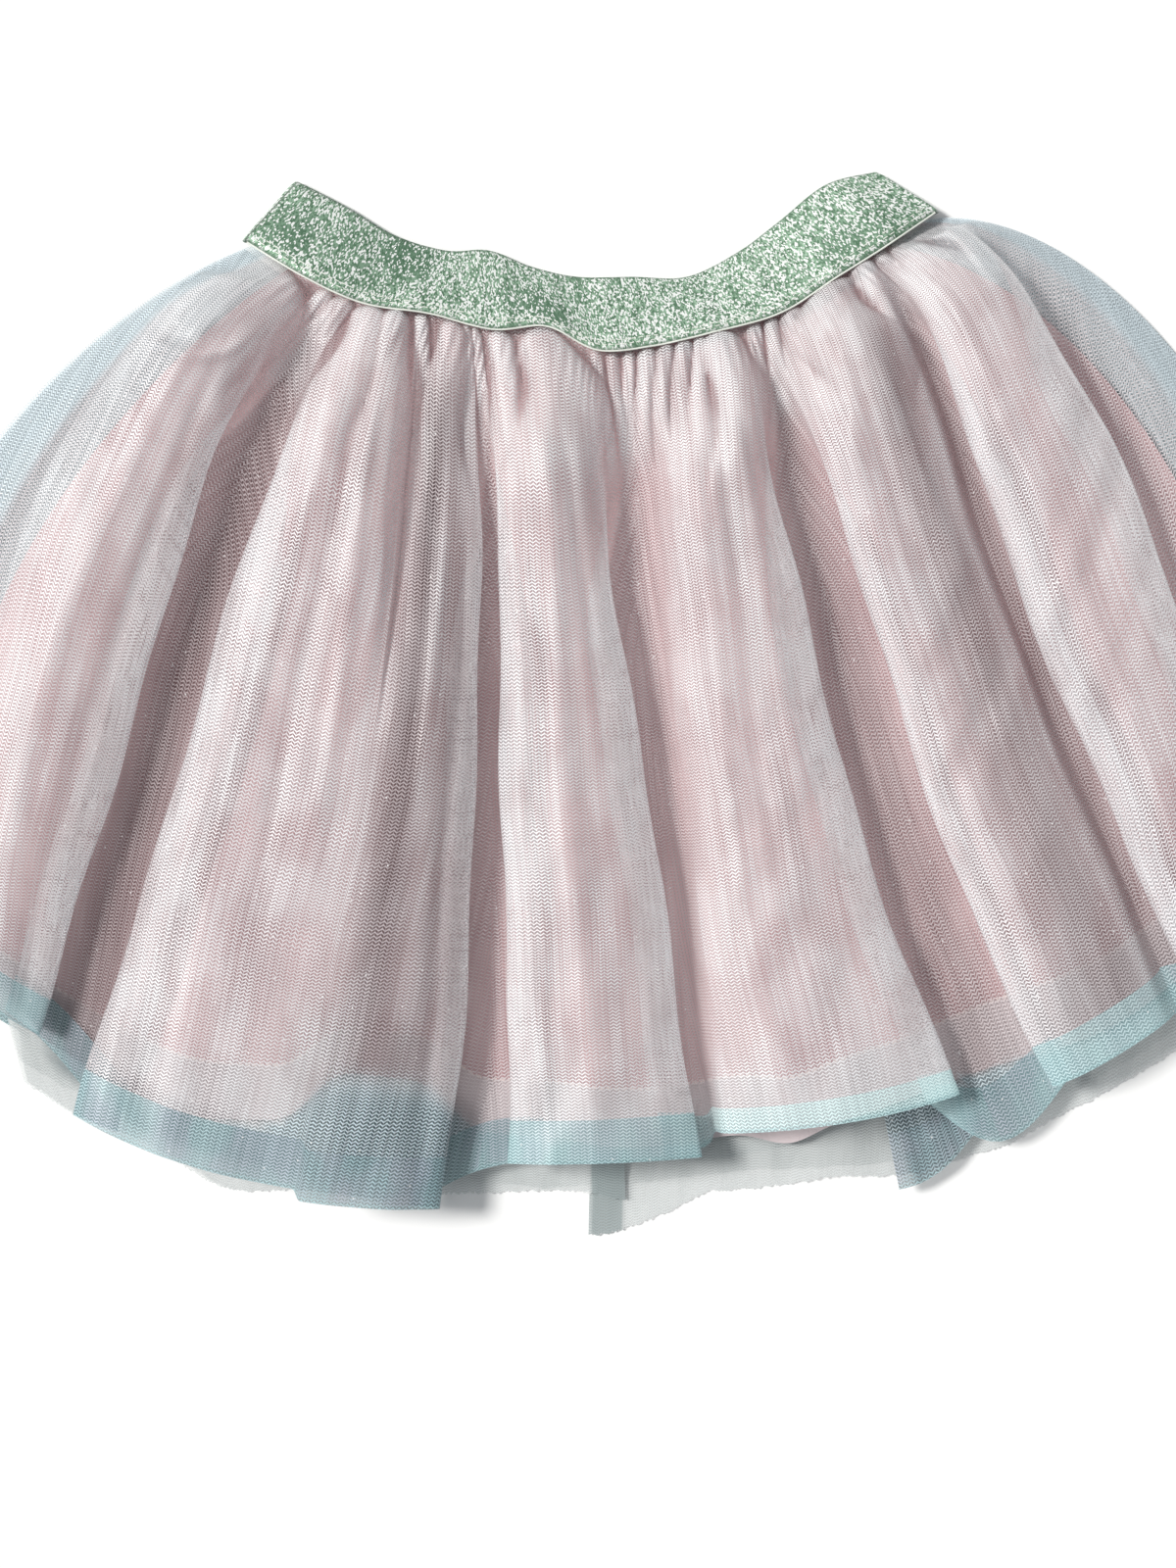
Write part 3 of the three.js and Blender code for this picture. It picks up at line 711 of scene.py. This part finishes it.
def net_front(is_left):
    """The left or right panel of the front net. Near the middle the left one lies on the right one, which
    stays flat and hangs lower there."""
    def edges(down):
        left, right = net_edges(down)
        if is_left:
            return left, down_to((5.8, 9.7, 13.8), down)
        return down_to((9.4, 5.2, 1.4), down), right

    def row(x, left, right, down):
        from_inner = right - x if is_left else x - left
        lift = swell(x, down, NET_FILL)
        drop = 1.5 * np.sin(x / 17) + jagged(x, 3 if is_left else 5) * smooth(0.85, 1, down)
        if is_left:
            lift = lift + 1.8 * (1 - smooth(16, 30, from_inner)) * smooth(0.06, 0.2, down)
            drop = drop + 8 * np.exp(-((x + 128) / 20) ** 2)
        else:
            lift = lift * smooth(14, 34, from_inner)
            drop = drop + 13 * (1 - smooth(0, 45, from_inner))
        hanging = down + drop * down * down / SKIRT_LENGTH
        z = (level_at(NET, down) + lift) * droop(hanging)
        strip = smooth(NET_OVERLAP, NET_OVERLAP - 0.8, from_inner)
        # The second tone is the painted shade under the folds, which stops past the hem
        return z, drop, strip, dim_side(x, min(down, 1)) * (1 - smooth(1, 1.02, down))

    name = "net_front_left_cloth" if is_left else "net_front_right_cloth"
    return panel(name, np.linspace(SEAM_DOWN, NET_HEM, 80), 480, edges, row)


def back_panel(name, first, last, edges_at, level, drop_at, seed=None):
    """A flat panel of the back. A seed gives it the raw edge of a net and lets its hem sag."""
    def back_row(x, left, right, down):
        if seed is None:
            return level, drop_at(x)
        return level * droop(down), drop_at(x) + jagged(x, seed) * smooth(0.85, 1, down)

    return panel(name, np.linspace(first, last, 60), 240, edges_at, back_row, 40)


def tulle_back():
    return back_panel("tulle_back_cloth", 0.014, 1, tulle_edges, TULLE_BACK, lambda x: 3 * np.sin(x / 24))


def lining_back():
    return back_panel("lining_back_cloth", SEAM_DOWN, 0.96, lining_edges, LINING_BACK, lining_wave)


def net_back():
    return back_panel("net_back_cloth", SEAM_DOWN, 1.03, net_edges, NET_BACK,
                      lambda x: 2 * np.sin(x / 21 + 2), 9)


# Elastic

def band_edges(s, out, low_z, top_z):
    """Low and top point of the elastic at s, from 0 at its left fold to 1 at its right one."""
    low_x, low_y, top_x, top_y = through(BAND_SECTIONS, s)
    return np.array([low_x + out, low_y, low_z]), np.array([top_x + out, top_y, top_z])


def front_station(s):
    """Low and top point on the front, where the elastic ripples a little."""
    inside = smooth(0, 0.09, s) * smooth(0, 0.09, 1 - s)
    ripple = 0.25 * math.sin(61 * s) + 0.15 * math.sin(143 * s + 1)
    low = mix(BAND["low_at_fold"], BAND["low"] + ripple, inside)
    return band_edges(s, 0, low, BAND["top"] + 0.5 * ripple * inside)


def turned_station(s, angle):
    """A station on the fold at one end, angle 0 on the front and pi on the back."""
    out = 1.4 * math.sin(angle) * (1 if s else -1)
    share = (1 + math.cos(angle)) / 2
    low = mix(BAND["back"], BAND["low_at_fold"], share)
    return band_edges(s, out, low, mix(BAND["back"], BAND["top"], share))


def band_stations():
    """Low and top points round the loop: over the front, round the right fold, back and round the left."""
    front, turn, back = 240, 9, 120
    stations = [front_station(k / front) for k in range(front + 1)]
    stations += [turned_station(1, math.pi * k / turn) for k in range(1, turn)]
    stations += [band_edges(k / back, 0, BAND["back"], BAND["back"]) for k in range(back, -1, -1)]
    stations += [turned_station(0, math.pi * k / turn) for k in range(turn - 1, 0, -1)]
    return stations


def waist_elastic():
    """The loop as a closed strip with rounded edges."""
    stations = band_stations()
    count = len(stations)
    profile = [(w / 12, 1) for w in range(13)] + [(1 - w / 12, -1) for w in range(13)]
    size = len(profile)
    points = []
    uvs = []
    run = 0.0
    for k, (low, top) in enumerate(stations):
        before = stations[k - 1]
        after = stations[(k + 1) % count]
        along = (after[0] - before[0]) + (after[1] - before[1])
        width = top - low
        out = np.cross(along, width)
        out /= np.linalg.norm(out)
        if k:
            run += np.linalg.norm((low + top - before[0] - before[1]) / 2)
        for share, side in profile:
            rounded = 0.35 if share in (0, 1) else 1
            points.append(low + width * share + out * side * rounded * BAND_THICKNESS / 2)
            uvs.append((run, share * BAND_WIDTH))
    ring = np.arange(size)
    next_in_ring = np.roll(ring, -1)
    here = np.arange(count)[:, None] * size
    there = np.roll(here, -1, axis=0)
    faces = np.stack([here + ring, there + ring, there + next_in_ring, here + next_in_ring], axis=-1)
    made = new_object("waist_elastic_band", points, faces.reshape(-1, 4).tolist())
    add_uv(made, "cloth", np.array(uvs)[faces.reshape(-1)])
    return made


# Materials

class Look:
    """A material whose nodes are added by short calls."""

    def __init__(self, name):
        self.material = bpy.data.materials.new(name)
        self.material.use_nodes = True
        self.tree = self.material.node_tree
        self.tree.nodes.clear()

    def add(self, kind, settings=None, **inputs):
        node = self.tree.nodes.new(kind)
        for key, value in (settings or {}).items():
            setattr(node, key, value)
        for key, value in inputs.items():
            self.put(node.inputs[key.replace("_", " ")], value)
        return node

    def put(self, socket, value):
        if isinstance(value, bpy.types.NodeSocket):
            self.tree.links.new(value, socket)
        else:
            socket.default_value = value

    def math(self, operation, a, b=0.0, clamp=False):
        node = self.add("ShaderNodeMath", {"operation": operation, "use_clamp": clamp})
        self.put(node.inputs[0], a)
        self.put(node.inputs[1], b)
        return node.outputs[0]

    plus = partialmethod(math, "ADD")
    minus = partialmethod(math, "SUBTRACT")
    times = partialmethod(math, "MULTIPLY")
    over = partialmethod(math, "DIVIDE")
    most = partialmethod(math, "MAXIMUM")
    fold = partialmethod(math, "PINGPONG")  # runs up from 0 to the second value and down again

    def range(self, value, low, high, to_low=0.0, to_high=1.0):
        """Goes smoothly from to_low to to_high as the value goes from low to high."""
        node = self.add("ShaderNodeMapRange", {"interpolation_type": "SMOOTHSTEP"}, Value=value,
                        From_Min=low, From_Max=high, To_Min=to_low, To_Max=to_high)
        return node.outputs["Result"]

    def between(self, share, a, b, kind="FLOAT"):
        """A number, or with another kind a colour, from a to b."""
        node = self.add("ShaderNodeMix", {"data_type": kind}, Factor=share, A=a, B=b)
        return node.outputs["Result"]

    def blend(self, share, a, b):
        return self.between(share, a, b, "RGBA")

    def cloth_uv(self, name="cloth"):
        """The two values of a UV map, which for the cloth are millimetres across it and up from its hem."""
        uv = self.add("ShaderNodeUVMap", {"uv_map": name}).outputs["UV"]
        parts = self.add("ShaderNodeSeparateXYZ", Vector=uv)
        return parts.outputs["X"], parts.outputs["Y"]

    def vector(self, x, y):
        return self.add("ShaderNodeCombineXYZ", X=x, Y=y).outputs["Vector"]

    def noise(self, u, v, size_u, size_v, detail=3.0):
        """Cloudy noise on the cloth, its patches about as large as the two sizes."""
        vector = self.vector(self.over(u, size_u), self.over(v, size_v))
        node = self.add("ShaderNodeTexNoise", {"noise_dimensions": "2D"}, Vector=vector, Scale=1.0,
                        Detail=detail)
        return node.outputs["Fac"]

    def voronoi(self, u, v, scale):
        return self.add("ShaderNodeTexVoronoi", {"voronoi_dimensions": "2D"}, Vector=self.vector(u, v),
                        Scale=scale)

    def away(self, u, v, middle_u, middle_v, reach_u, reach_v):
        """Distance from a place on the cloth, as a share of the reach each way."""
        over_u = self.over(self.minus(u, middle_u), reach_u)
        over_v = self.over(self.minus(v, middle_v), reach_v)
        return self.math("SQRT", self.plus(self.times(over_u, over_u), self.times(over_v, over_v)))

    def bump(self, height, strength, distance):
        node = self.add("ShaderNodeBump", Height=height, Strength=strength, Distance=distance)
        return node.outputs["Normal"]

    def shader(self, **inputs):
        """The cloth's shader, which goes to the material's output."""
        node = self.add("ShaderNodeBsdfPrincipled", **inputs)
        out = self.add("ShaderNodeOutputMaterial")
        self.tree.links.new(node.outputs["BSDF"], out.inputs["Surface"])


def rgb(red, green, blue):
    """A colour from sRGB values of 0 to 255."""
    def linear(value):
        share = value / 255
        return share / 12.92 if share <= 0.04045 else ((share + 0.055) / 1.055) ** 2.4
    return (linear(red), linear(green), linear(blue), 1.0)


def zigzag_net(look, u, v, column, row, slant, gap):
    """1 on the threads of a knitted net and 0 in its holes, which slant one way and then the other in
    neighbouring columns. All sizes are in millimetres, and gap is the half height of a hole over row."""
    zigzag = look.fold(u, column)
    shifted = look.plus(v, look.times(zigzag, slant))
    from_row = look.fold(look.over(shifted, row), 0.5)
    rows = look.range(look.minus(from_row, gap), 0.0, 0.1)
    from_column = look.math("ABSOLUTE", look.minus(look.over(zigzag, column), 0.5))
    columns = look.range(from_column, 0.36, 0.48, 0.0, 0.8)
    return look.most(rows, columns)


def tulle_net(look, u, v):
    """The threads of the tulle, which lie closer in streaks and ribs down the skirt."""
    streaks = look.range(look.noise(u, v, 1.9, 70), 0.4, 0.68)
    ribs = look.times(look.range(look.noise(u, v, 4.2, 55), 0.36, 0.6), look.range(v, 120, 260, 0.3, 1.0))
    gap = look.minus(look.between(streaks, 0.31, 0.235), look.times(ribs, 0.06))
    bent_v = look.plus(v, look.times(look.noise(u, v, 17, 23, 1.0), 2.5))
    return zigzag_net(look, u, bent_v, 1.15, 1.18, 0.76, gap)


def over_lining(look, v, crowns, patches, dim):
    """Colour of the tulle where the pink lining lies under it, whiter on the crowns, with a painted highlight
    on the puffs near the waist, which are also bunched, and painted shade where it is dim.
    """
    colour = look.blend(crowns, rgb(232, 224, 226), rgb(236, 236, 239))
    # Painted highlight on the crowns of the puffs near the waist, partly the whiter bunched net
    near_waist = look.times(crowns, look.range(v, 200, 265, 0.0, 0.6))
    colour = look.blend(near_waist, colour, rgb(250, 250, 252))
    pink = look.times(look.minus(1.0, patches), 0.35)
    colour = look.blend(pink, colour, rgb(212, 200, 202))
    # Painted shade where dim
    return look.blend(look.times(dim, 0.7), colour, rgb(152, 133, 136))


def hem_colour(look, hem_light, patches):
    """Colour of the double cloth of the turned-up hem, darker and more teal where hem_light is low, partly
    as painted shade.
    """
    colour = look.blend(hem_light, rgb(160, 188, 196), rgb(226, 255, 255))
    dull = look.times(patches, look.range(hem_light, 0.3, 0.8, 0.8, 0.0))
    return look.blend(dull, colour, rgb(192, 198, 212))


def tulle_look(name, front):
    """Fine net with a turned-up hem. On the front it is denser and whiter on the folds than in the valleys,
    and aqua where no lining lies under it. It has painted shade in hollows, gaps, on the sides of folds
    and in the holes over shaded layers, and painted highlights on ridges, rims and lit flanks."""
    look = Look(name)
    u, v = look.cloth_uv()
    # A hem light of 0.3 paints the back tulle greyer, as partly painted shade
    raised, alone, hem_light, dim = 0.0, 1.0, 0.3, 0.0
    if front:
        raised, alone = look.cloth_uv("lie")
        hem_light, dim = look.cloth_uv("tint")
    net = tulle_net(look, u, v)
    patches = look.range(look.noise(u, v, 16, 30), 0.36, 0.64)
    crowns = look.range(raised, 0.05, 0.6)
    in_edge = look.range(v, 0.8, 1.8, 1.0, 0.0)
    in_hem = look.math("LESS_THAN", v, look.range(hem_light, 0.3, 1.0, HEM_DEPTH + 3, HEM_DEPTH - 5))
    # Painted highlight on ridges, rims and lit flanks, where dim is below 0
    painted_highlight = look.range(dim, -0.05, -0.8)

    hole_cover = look.times(look.between(crowns, 0.0, 0.13), look.between(patches, 0.3, 1.2))
    hole_cover = look.between(in_hem, hole_cover, look.between(hem_light, 0.2, 0.4))
    bunched = look.times(look.range(v, 215, 265, 0.0, 0.1), crowns)
    hole_cover = look.plus(hole_cover, bunched, clamp=True)
    hole_cover = look.most(hole_cover, look.times(painted_highlight, 0.28))
    cover = look.between(net, hole_cover, look.between(crowns, 0.8, 1.0))

    # Tulle on its own is aqua, greyer where hem_light is low, which is partly painted shade
    on_its_own = look.blend(look.range(hem_light, 0.0, 0.5), rgb(196, 212, 219), rgb(234, 248, 255))
    colour = look.blend(alone, over_lining(look, v, crowns, patches, dim), on_its_own)
    colour = look.blend(painted_highlight, colour, rgb(250, 249, 251))
    hem_share = look.times(in_hem, look.between(alone, 0.8, 1.0))
    colour = look.blend(hem_share, colour, hem_colour(look, hem_light, patches))
    colour = look.blend(look.times(in_edge, 0.6), colour, rgb(176, 212, 216))

    # Painted shadow in the holes, where the layers under the net lie in shade: dark teal, lighter under the
    # light hems
    in_hole = look.times(look.minus(1.0, net), look.most(alone, in_hem))
    above_hem = look.range(hem_light, 0.0, 0.8, 1.0, 0.35)
    in_the_hem = look.range(hem_light, 0.3, 1.0, 0.9, 0.5)
    shadowed_hole = look.times(in_hole, look.between(in_hem, above_hem, in_the_hem))
    hole_shade = look.blend(look.times(hem_light, in_hem), rgb(44, 66, 74), rgb(146, 196, 202))
    colour = look.blend(shadowed_hole, colour, hole_shade)
    cover = look.most(cover, look.times(shadowed_hole, 0.8))

    dots = look.voronoi(u, v, 0.055)
    sparkle = look.range(dots.outputs["Distance"], 0.01, 0.022, 0.8, 0.0)
    colour = look.blend(sparkle, colour, rgb(255, 255, 255))
    look.shader(Base_Color=colour, Roughness=0.4, Alpha=look.most(cover, sparkle), Sheen_Weight=0.25,
                Sheen_Roughness=0.35, Specular_IOR_Level=0.5, Normal=look.bump(net, 0.35, 0.0004))
    return look.material


def net_look(name, front):
    """Stiff net, closer than the tulle's. The two front panels are darker in the strip where they overlap,
    and have painted shade under the folds.
    """
    look = Look(name)
    u, v = look.cloth_uv()
    strands = zigzag_net(look, u, v, 0.9, 0.95, 0.4, 0.2)
    cloud = look.noise(u, v, 12, 30, 2.0)
    cover = look.between(strands, look.range(cloud, 0.3, 0.7, 0.3, 0.45), 0.72)
    tint = look.blend(look.range(cloud, 0.3, 0.7), rgb(204, 209, 209), rgb(216, 220, 220))
    if front:
        strip, dim = look.cloth_uv("tint")
        cover = look.plus(cover, look.times(strip, 0.2), clamp=True)
        tint = look.blend(look.times(strip, 0.9), tint, rgb(146, 158, 159))
        # Painted shade under the folds, dark teal
        tint = look.blend(look.range(dim, 0.3, 0.95, 0.0, 0.8), tint, rgb(70, 96, 104))
    look.shader(Base_Color=tint, Roughness=0.6, Alpha=cover, Sheen_Weight=0.15)
    return look.material


def lining_look(name, light, deep, hem, dims=True):
    """Crinkled woven cloth with a stitched hem, darker where dims are on and the shade of a fold is."""
    look = Look(name)
    u, v = look.cloth_uv()
    cloud = look.noise(u, v, 30, 45)
    weave_u = look.fold(look.times(u, 2.4), 0.5)
    weave_v = look.fold(look.times(v, 2.4), 0.5)
    weave = look.plus(weave_u, weave_v)
    crinkle = look.noise(u, v, 6, 9, 4.0)
    in_hem = look.math("LESS_THAN", v, LINING_HEM_DEPTH)
    line = look.range(look.math("ABSOLUTE", look.minus(v, LINING_HEM_DEPTH)), 0.4, 0.8, 1.0, 0.0)
    dash = look.math("GREATER_THAN", look.math("FRACT", look.over(u, 2.6)), 0.35)
    stitch = look.times(line, dash)
    colour = look.blend(look.range(cloud, 0.3, 0.72), light, deep)
    colour = look.blend(look.times(in_hem, 0.85), colour, hem)
    colour = look.blend(look.times(stitch, 0.7), colour, rgb(250, 236, 232))
    if dims:
        # Painted shade, from the dim tone
        dim = look.times(look.cloth_uv("tint")[1], 0.98)
        colour = look.blend(dim, colour, rgb(102, 78, 80))
    height = look.plus(look.times(weave, 0.2), look.times(crinkle, 1.6))
    height = look.plus(height, look.times(in_hem, 0.8))
    height = look.minus(height, look.times(line, 0.6))
    bump = look.bump(height, 0.5, 0.0008)
    look.shader(Base_Color=colour, Roughness=0.82, Sheen_Weight=0.2, Normal=bump)
    return look.material


# Shaded patches of the elastic, in mm on the cloth: middle along and up, reach both ways, amount
ELASTIC_SHADE = [
    (52, 19, 17, 12, 0.7),
    (101, 8, 16, 11, 0.55),
    (222, 6, 30, 9, 0.4),
    (10, 10, 16, 14, 0.6),
    (40, 12, 28, 20, 0.3),
]


def elastic_look():
    """Glitter of pale grains of many brightnesses on mint, in a few softly shaded patches."""
    look = Look("glitter_elastic_look")
    u, v = look.cloth_uv()
    cells = look.voronoi(u, look.times(v, 0.65), 2.3)
    grain = look.add("ShaderNodeSeparateColor", Color=cells.outputs["Color"])
    chance = grain.outputs["Red"]
    cloud = look.noise(u, v, 14, 10, 2.0)
    base = look.blend(look.range(chance, 0.05, 0.65), rgb(82, 116, 90), rgb(166, 196, 172))
    base = look.blend(look.range(cloud, 0.3, 0.7, 0.0, 0.3), base, rgb(104, 142, 114))
    shade = 0.0
    for *patch, amount in ELASTIC_SHADE:
        shade = look.most(shade, look.range(look.away(u, v, *patch), 0.3, 1.0, amount, 0.0))
    base = look.blend(shade, base, rgb(70, 108, 82))
    bright = look.math("GREATER_THAN", chance, look.between(shade, 0.66, 0.86))
    base = look.blend(bright, base, rgb(252, 255, 252))
    edge = look.most(look.range(v, 0.2, 0.9, 1.0, 0.0), look.range(v, 24.2, 24.8))
    base = look.blend(look.times(edge, 0.6), base, rgb(104, 132, 112))
    rough = look.range(chance, 0.7, 0.8, 0.55, 0.25)
    tilt = look.bump(grain.outputs["Green"], 0.8, 0.0006)
    look.shader(Base_Color=base, Roughness=rough, Metallic=0.25, Normal=tilt)
    return look.material


def grainy_look(name, first, second, scale, roughness, bump=0.0):
    """Two colours in a fine grain, which has a height where bump is above 0."""
    look = Look(name)
    where = look.add("ShaderNodeTexCoord").outputs["Object"]
    grain = look.add("ShaderNodeTexNoise", Vector=where, Scale=scale).outputs["Fac"]
    height = {"Normal": look.bump(grain, bump, 0.0002)} if bump else {}
    look.shader(Base_Color=look.blend(grain, first, second), Roughness=roughness, **height)
    return look.material


# Sewn details

def tube(path, radius, sides=8):
    """A closed thin tube along a path in the layout."""
    path = np.asarray(path, float)
    count = len(path)
    points = []
    for k in range(count):
        along = path[min(k + 1, count - 1)] - path[max(k - 1, 0)]
        along /= np.linalg.norm(along)
        side = np.cross(along, (0, 0, 1.0))
        side /= np.linalg.norm(side)
        up = np.cross(side, along)
        for angle in 2 * math.pi * np.arange(sides) / sides:
            points.append(path[k] + radius * (math.cos(angle) * side + math.sin(angle) * up))
    faces = []
    for k in range(0, (count - 1) * sides, sides):
        for j in range(sides):
            n = (j + 1) % sides
            faces.append((k + j, k + n, k + sides + n, k + sides + j))
    faces.append(tuple(range(sides)))
    faces.append(tuple((count - 1) * sides + j for j in reversed(range(sides))))
    return points, faces


def joined(name, shapes):
    """One object from several (points, faces) shapes in the layout."""
    points = []
    faces = []
    for shape_points, shape_faces in shapes:
        start = len(points)
        points.extend(shape_points)
        faces.extend(tuple(start + i for i in face) for face in shape_faces)
    return new_object(name, points, faces)


def on_band(s, share, lift):
    """A point on the front of the elastic, a share of its width up from the low edge."""
    low, top = front_station(s)
    return mix(low, top, share) + np.array([0, 0, lift])


def band_cord():
    """The cord along the low edge of the elastic."""
    path = [on_band(s, -0.015, 0.1) for s in np.linspace(0.004, 0.996, 260)]
    return joined("band_edge_cord", [tube(path, 0.33)])


def band_stitches():
    """Two rows of short thread stitches that hold the tulle to the elastic."""
    shapes = []
    count = 96
    for row_share, offset in ((0.07, 0.0), (0.13, 0.5)):
        for k in range(count):
            s = (k + offset) / count
            if not 0.01 < s < 0.985:
                continue
            path = [on_band(s + step * 0.6 / count, row_share, 0.55 + 0.25 * math.sin(math.pi * step))
                    for step in (0, 0.33, 0.67, 1)]
            shapes.append(tube(path, 0.2, 6))
    return joined("band_stitches", shapes)


# Camera and light

def camera():
    """Straight down on the photograph's frame, which is 416.4 by 555.2 mm at the folds."""
    data = bpy.data.cameras.new("camera")
    data.lens = 85
    data.sensor_width = 36
    frame_height = 0.5552
    folds_height = 0.014
    made = linked("camera", data)
    made.location = (-0.0017, -0.0289, data.lens * frame_height / data.sensor_width + folds_height)
    bpy.context.scene.camera = made


def light():
    """A soft light from the upper left in a pale room."""
    data = bpy.data.lights.new("window", "SUN")
    data.energy = 3.3
    data.angle = math.radians(14)
    data.color = (1.0, 0.98, 0.95)
    made = linked("window", data)
    made.rotation_mode = "QUATERNION"
    made.rotation_quaternion = Vector((0.74, -0.2, -0.92)).to_track_quat("-Z", "Y")
    made.location = (-0.8, 0.4, 1.0)
    world = bpy.data.worlds.new("room")
    world.use_nodes = True
    background = world.node_tree.nodes["Background"]
    background.inputs["Color"].default_value = (0.93, 0.97, 1.0, 1)
    background.inputs["Strength"].default_value = 0.36
    bpy.context.scene.world = world
    bpy.context.scene.view_settings.view_transform = "Standard"


def floor():
    half = 3.0
    corners = [(-half, -half, 0), (half, -half, 0), (half, half, 0), (-half, half, 0)]
    mesh = bpy.data.meshes.new("floor")
    mesh.from_pydata(corners, [], [(0, 1, 2, 3)])
    made = linked("floor", mesh)
    pale = (0.93, 0.93, 0.93, 1)
    mesh.materials.append(grainy_look("floor_look", pale, (0.96, 0.96, 0.96, 1), 60.0, 0.9))


def build():
    camera()
    light()
    floor()
    bpy.context.scene.cycles.transparent_max_bounces = 24
    tulle = tulle_look("tulle_look", True)
    net = net_look("net_look", True)
    lining = lining_look("lining_look", rgb(216, 182, 184), rgb(194, 156, 159), rgb(204, 196, 198))
    lining_under = lining_look("lining_back_look", rgb(236, 214, 212), rgb(220, 196, 194),
                               rgb(226, 216, 214), dims=False)
    thread = grainy_look("thread_look", rgb(196, 210, 198), rgb(255, 252, 246), 2400.0, 0.7, 0.4)

    front = dress(tulle_front(), tulle, ["tulle_front"])
    pleat = sew(hanging_pleat(), tulle)
    inner = dress(lining_front(), lining, ["lining_front"])
    net_left = dress(net_front(True), net, ["net_front_left"])
    net_right = dress(net_front(False), net, ["net_front_right"])
    net_under = dress(net_back(), net_look("net_back_look", False), ["net_back"])
    lining_rear = dress(lining_back(), lining_under, ["lining_back"])
    back = dress(tulle_back(), tulle_look("tulle_back_look", False), ["tulle_back"])
    band = dress(waist_elastic(), elastic_look(), ["waist_elastic"])
    sew(band_cord(), thread)
    sew(band_stitches(), thread)


build()
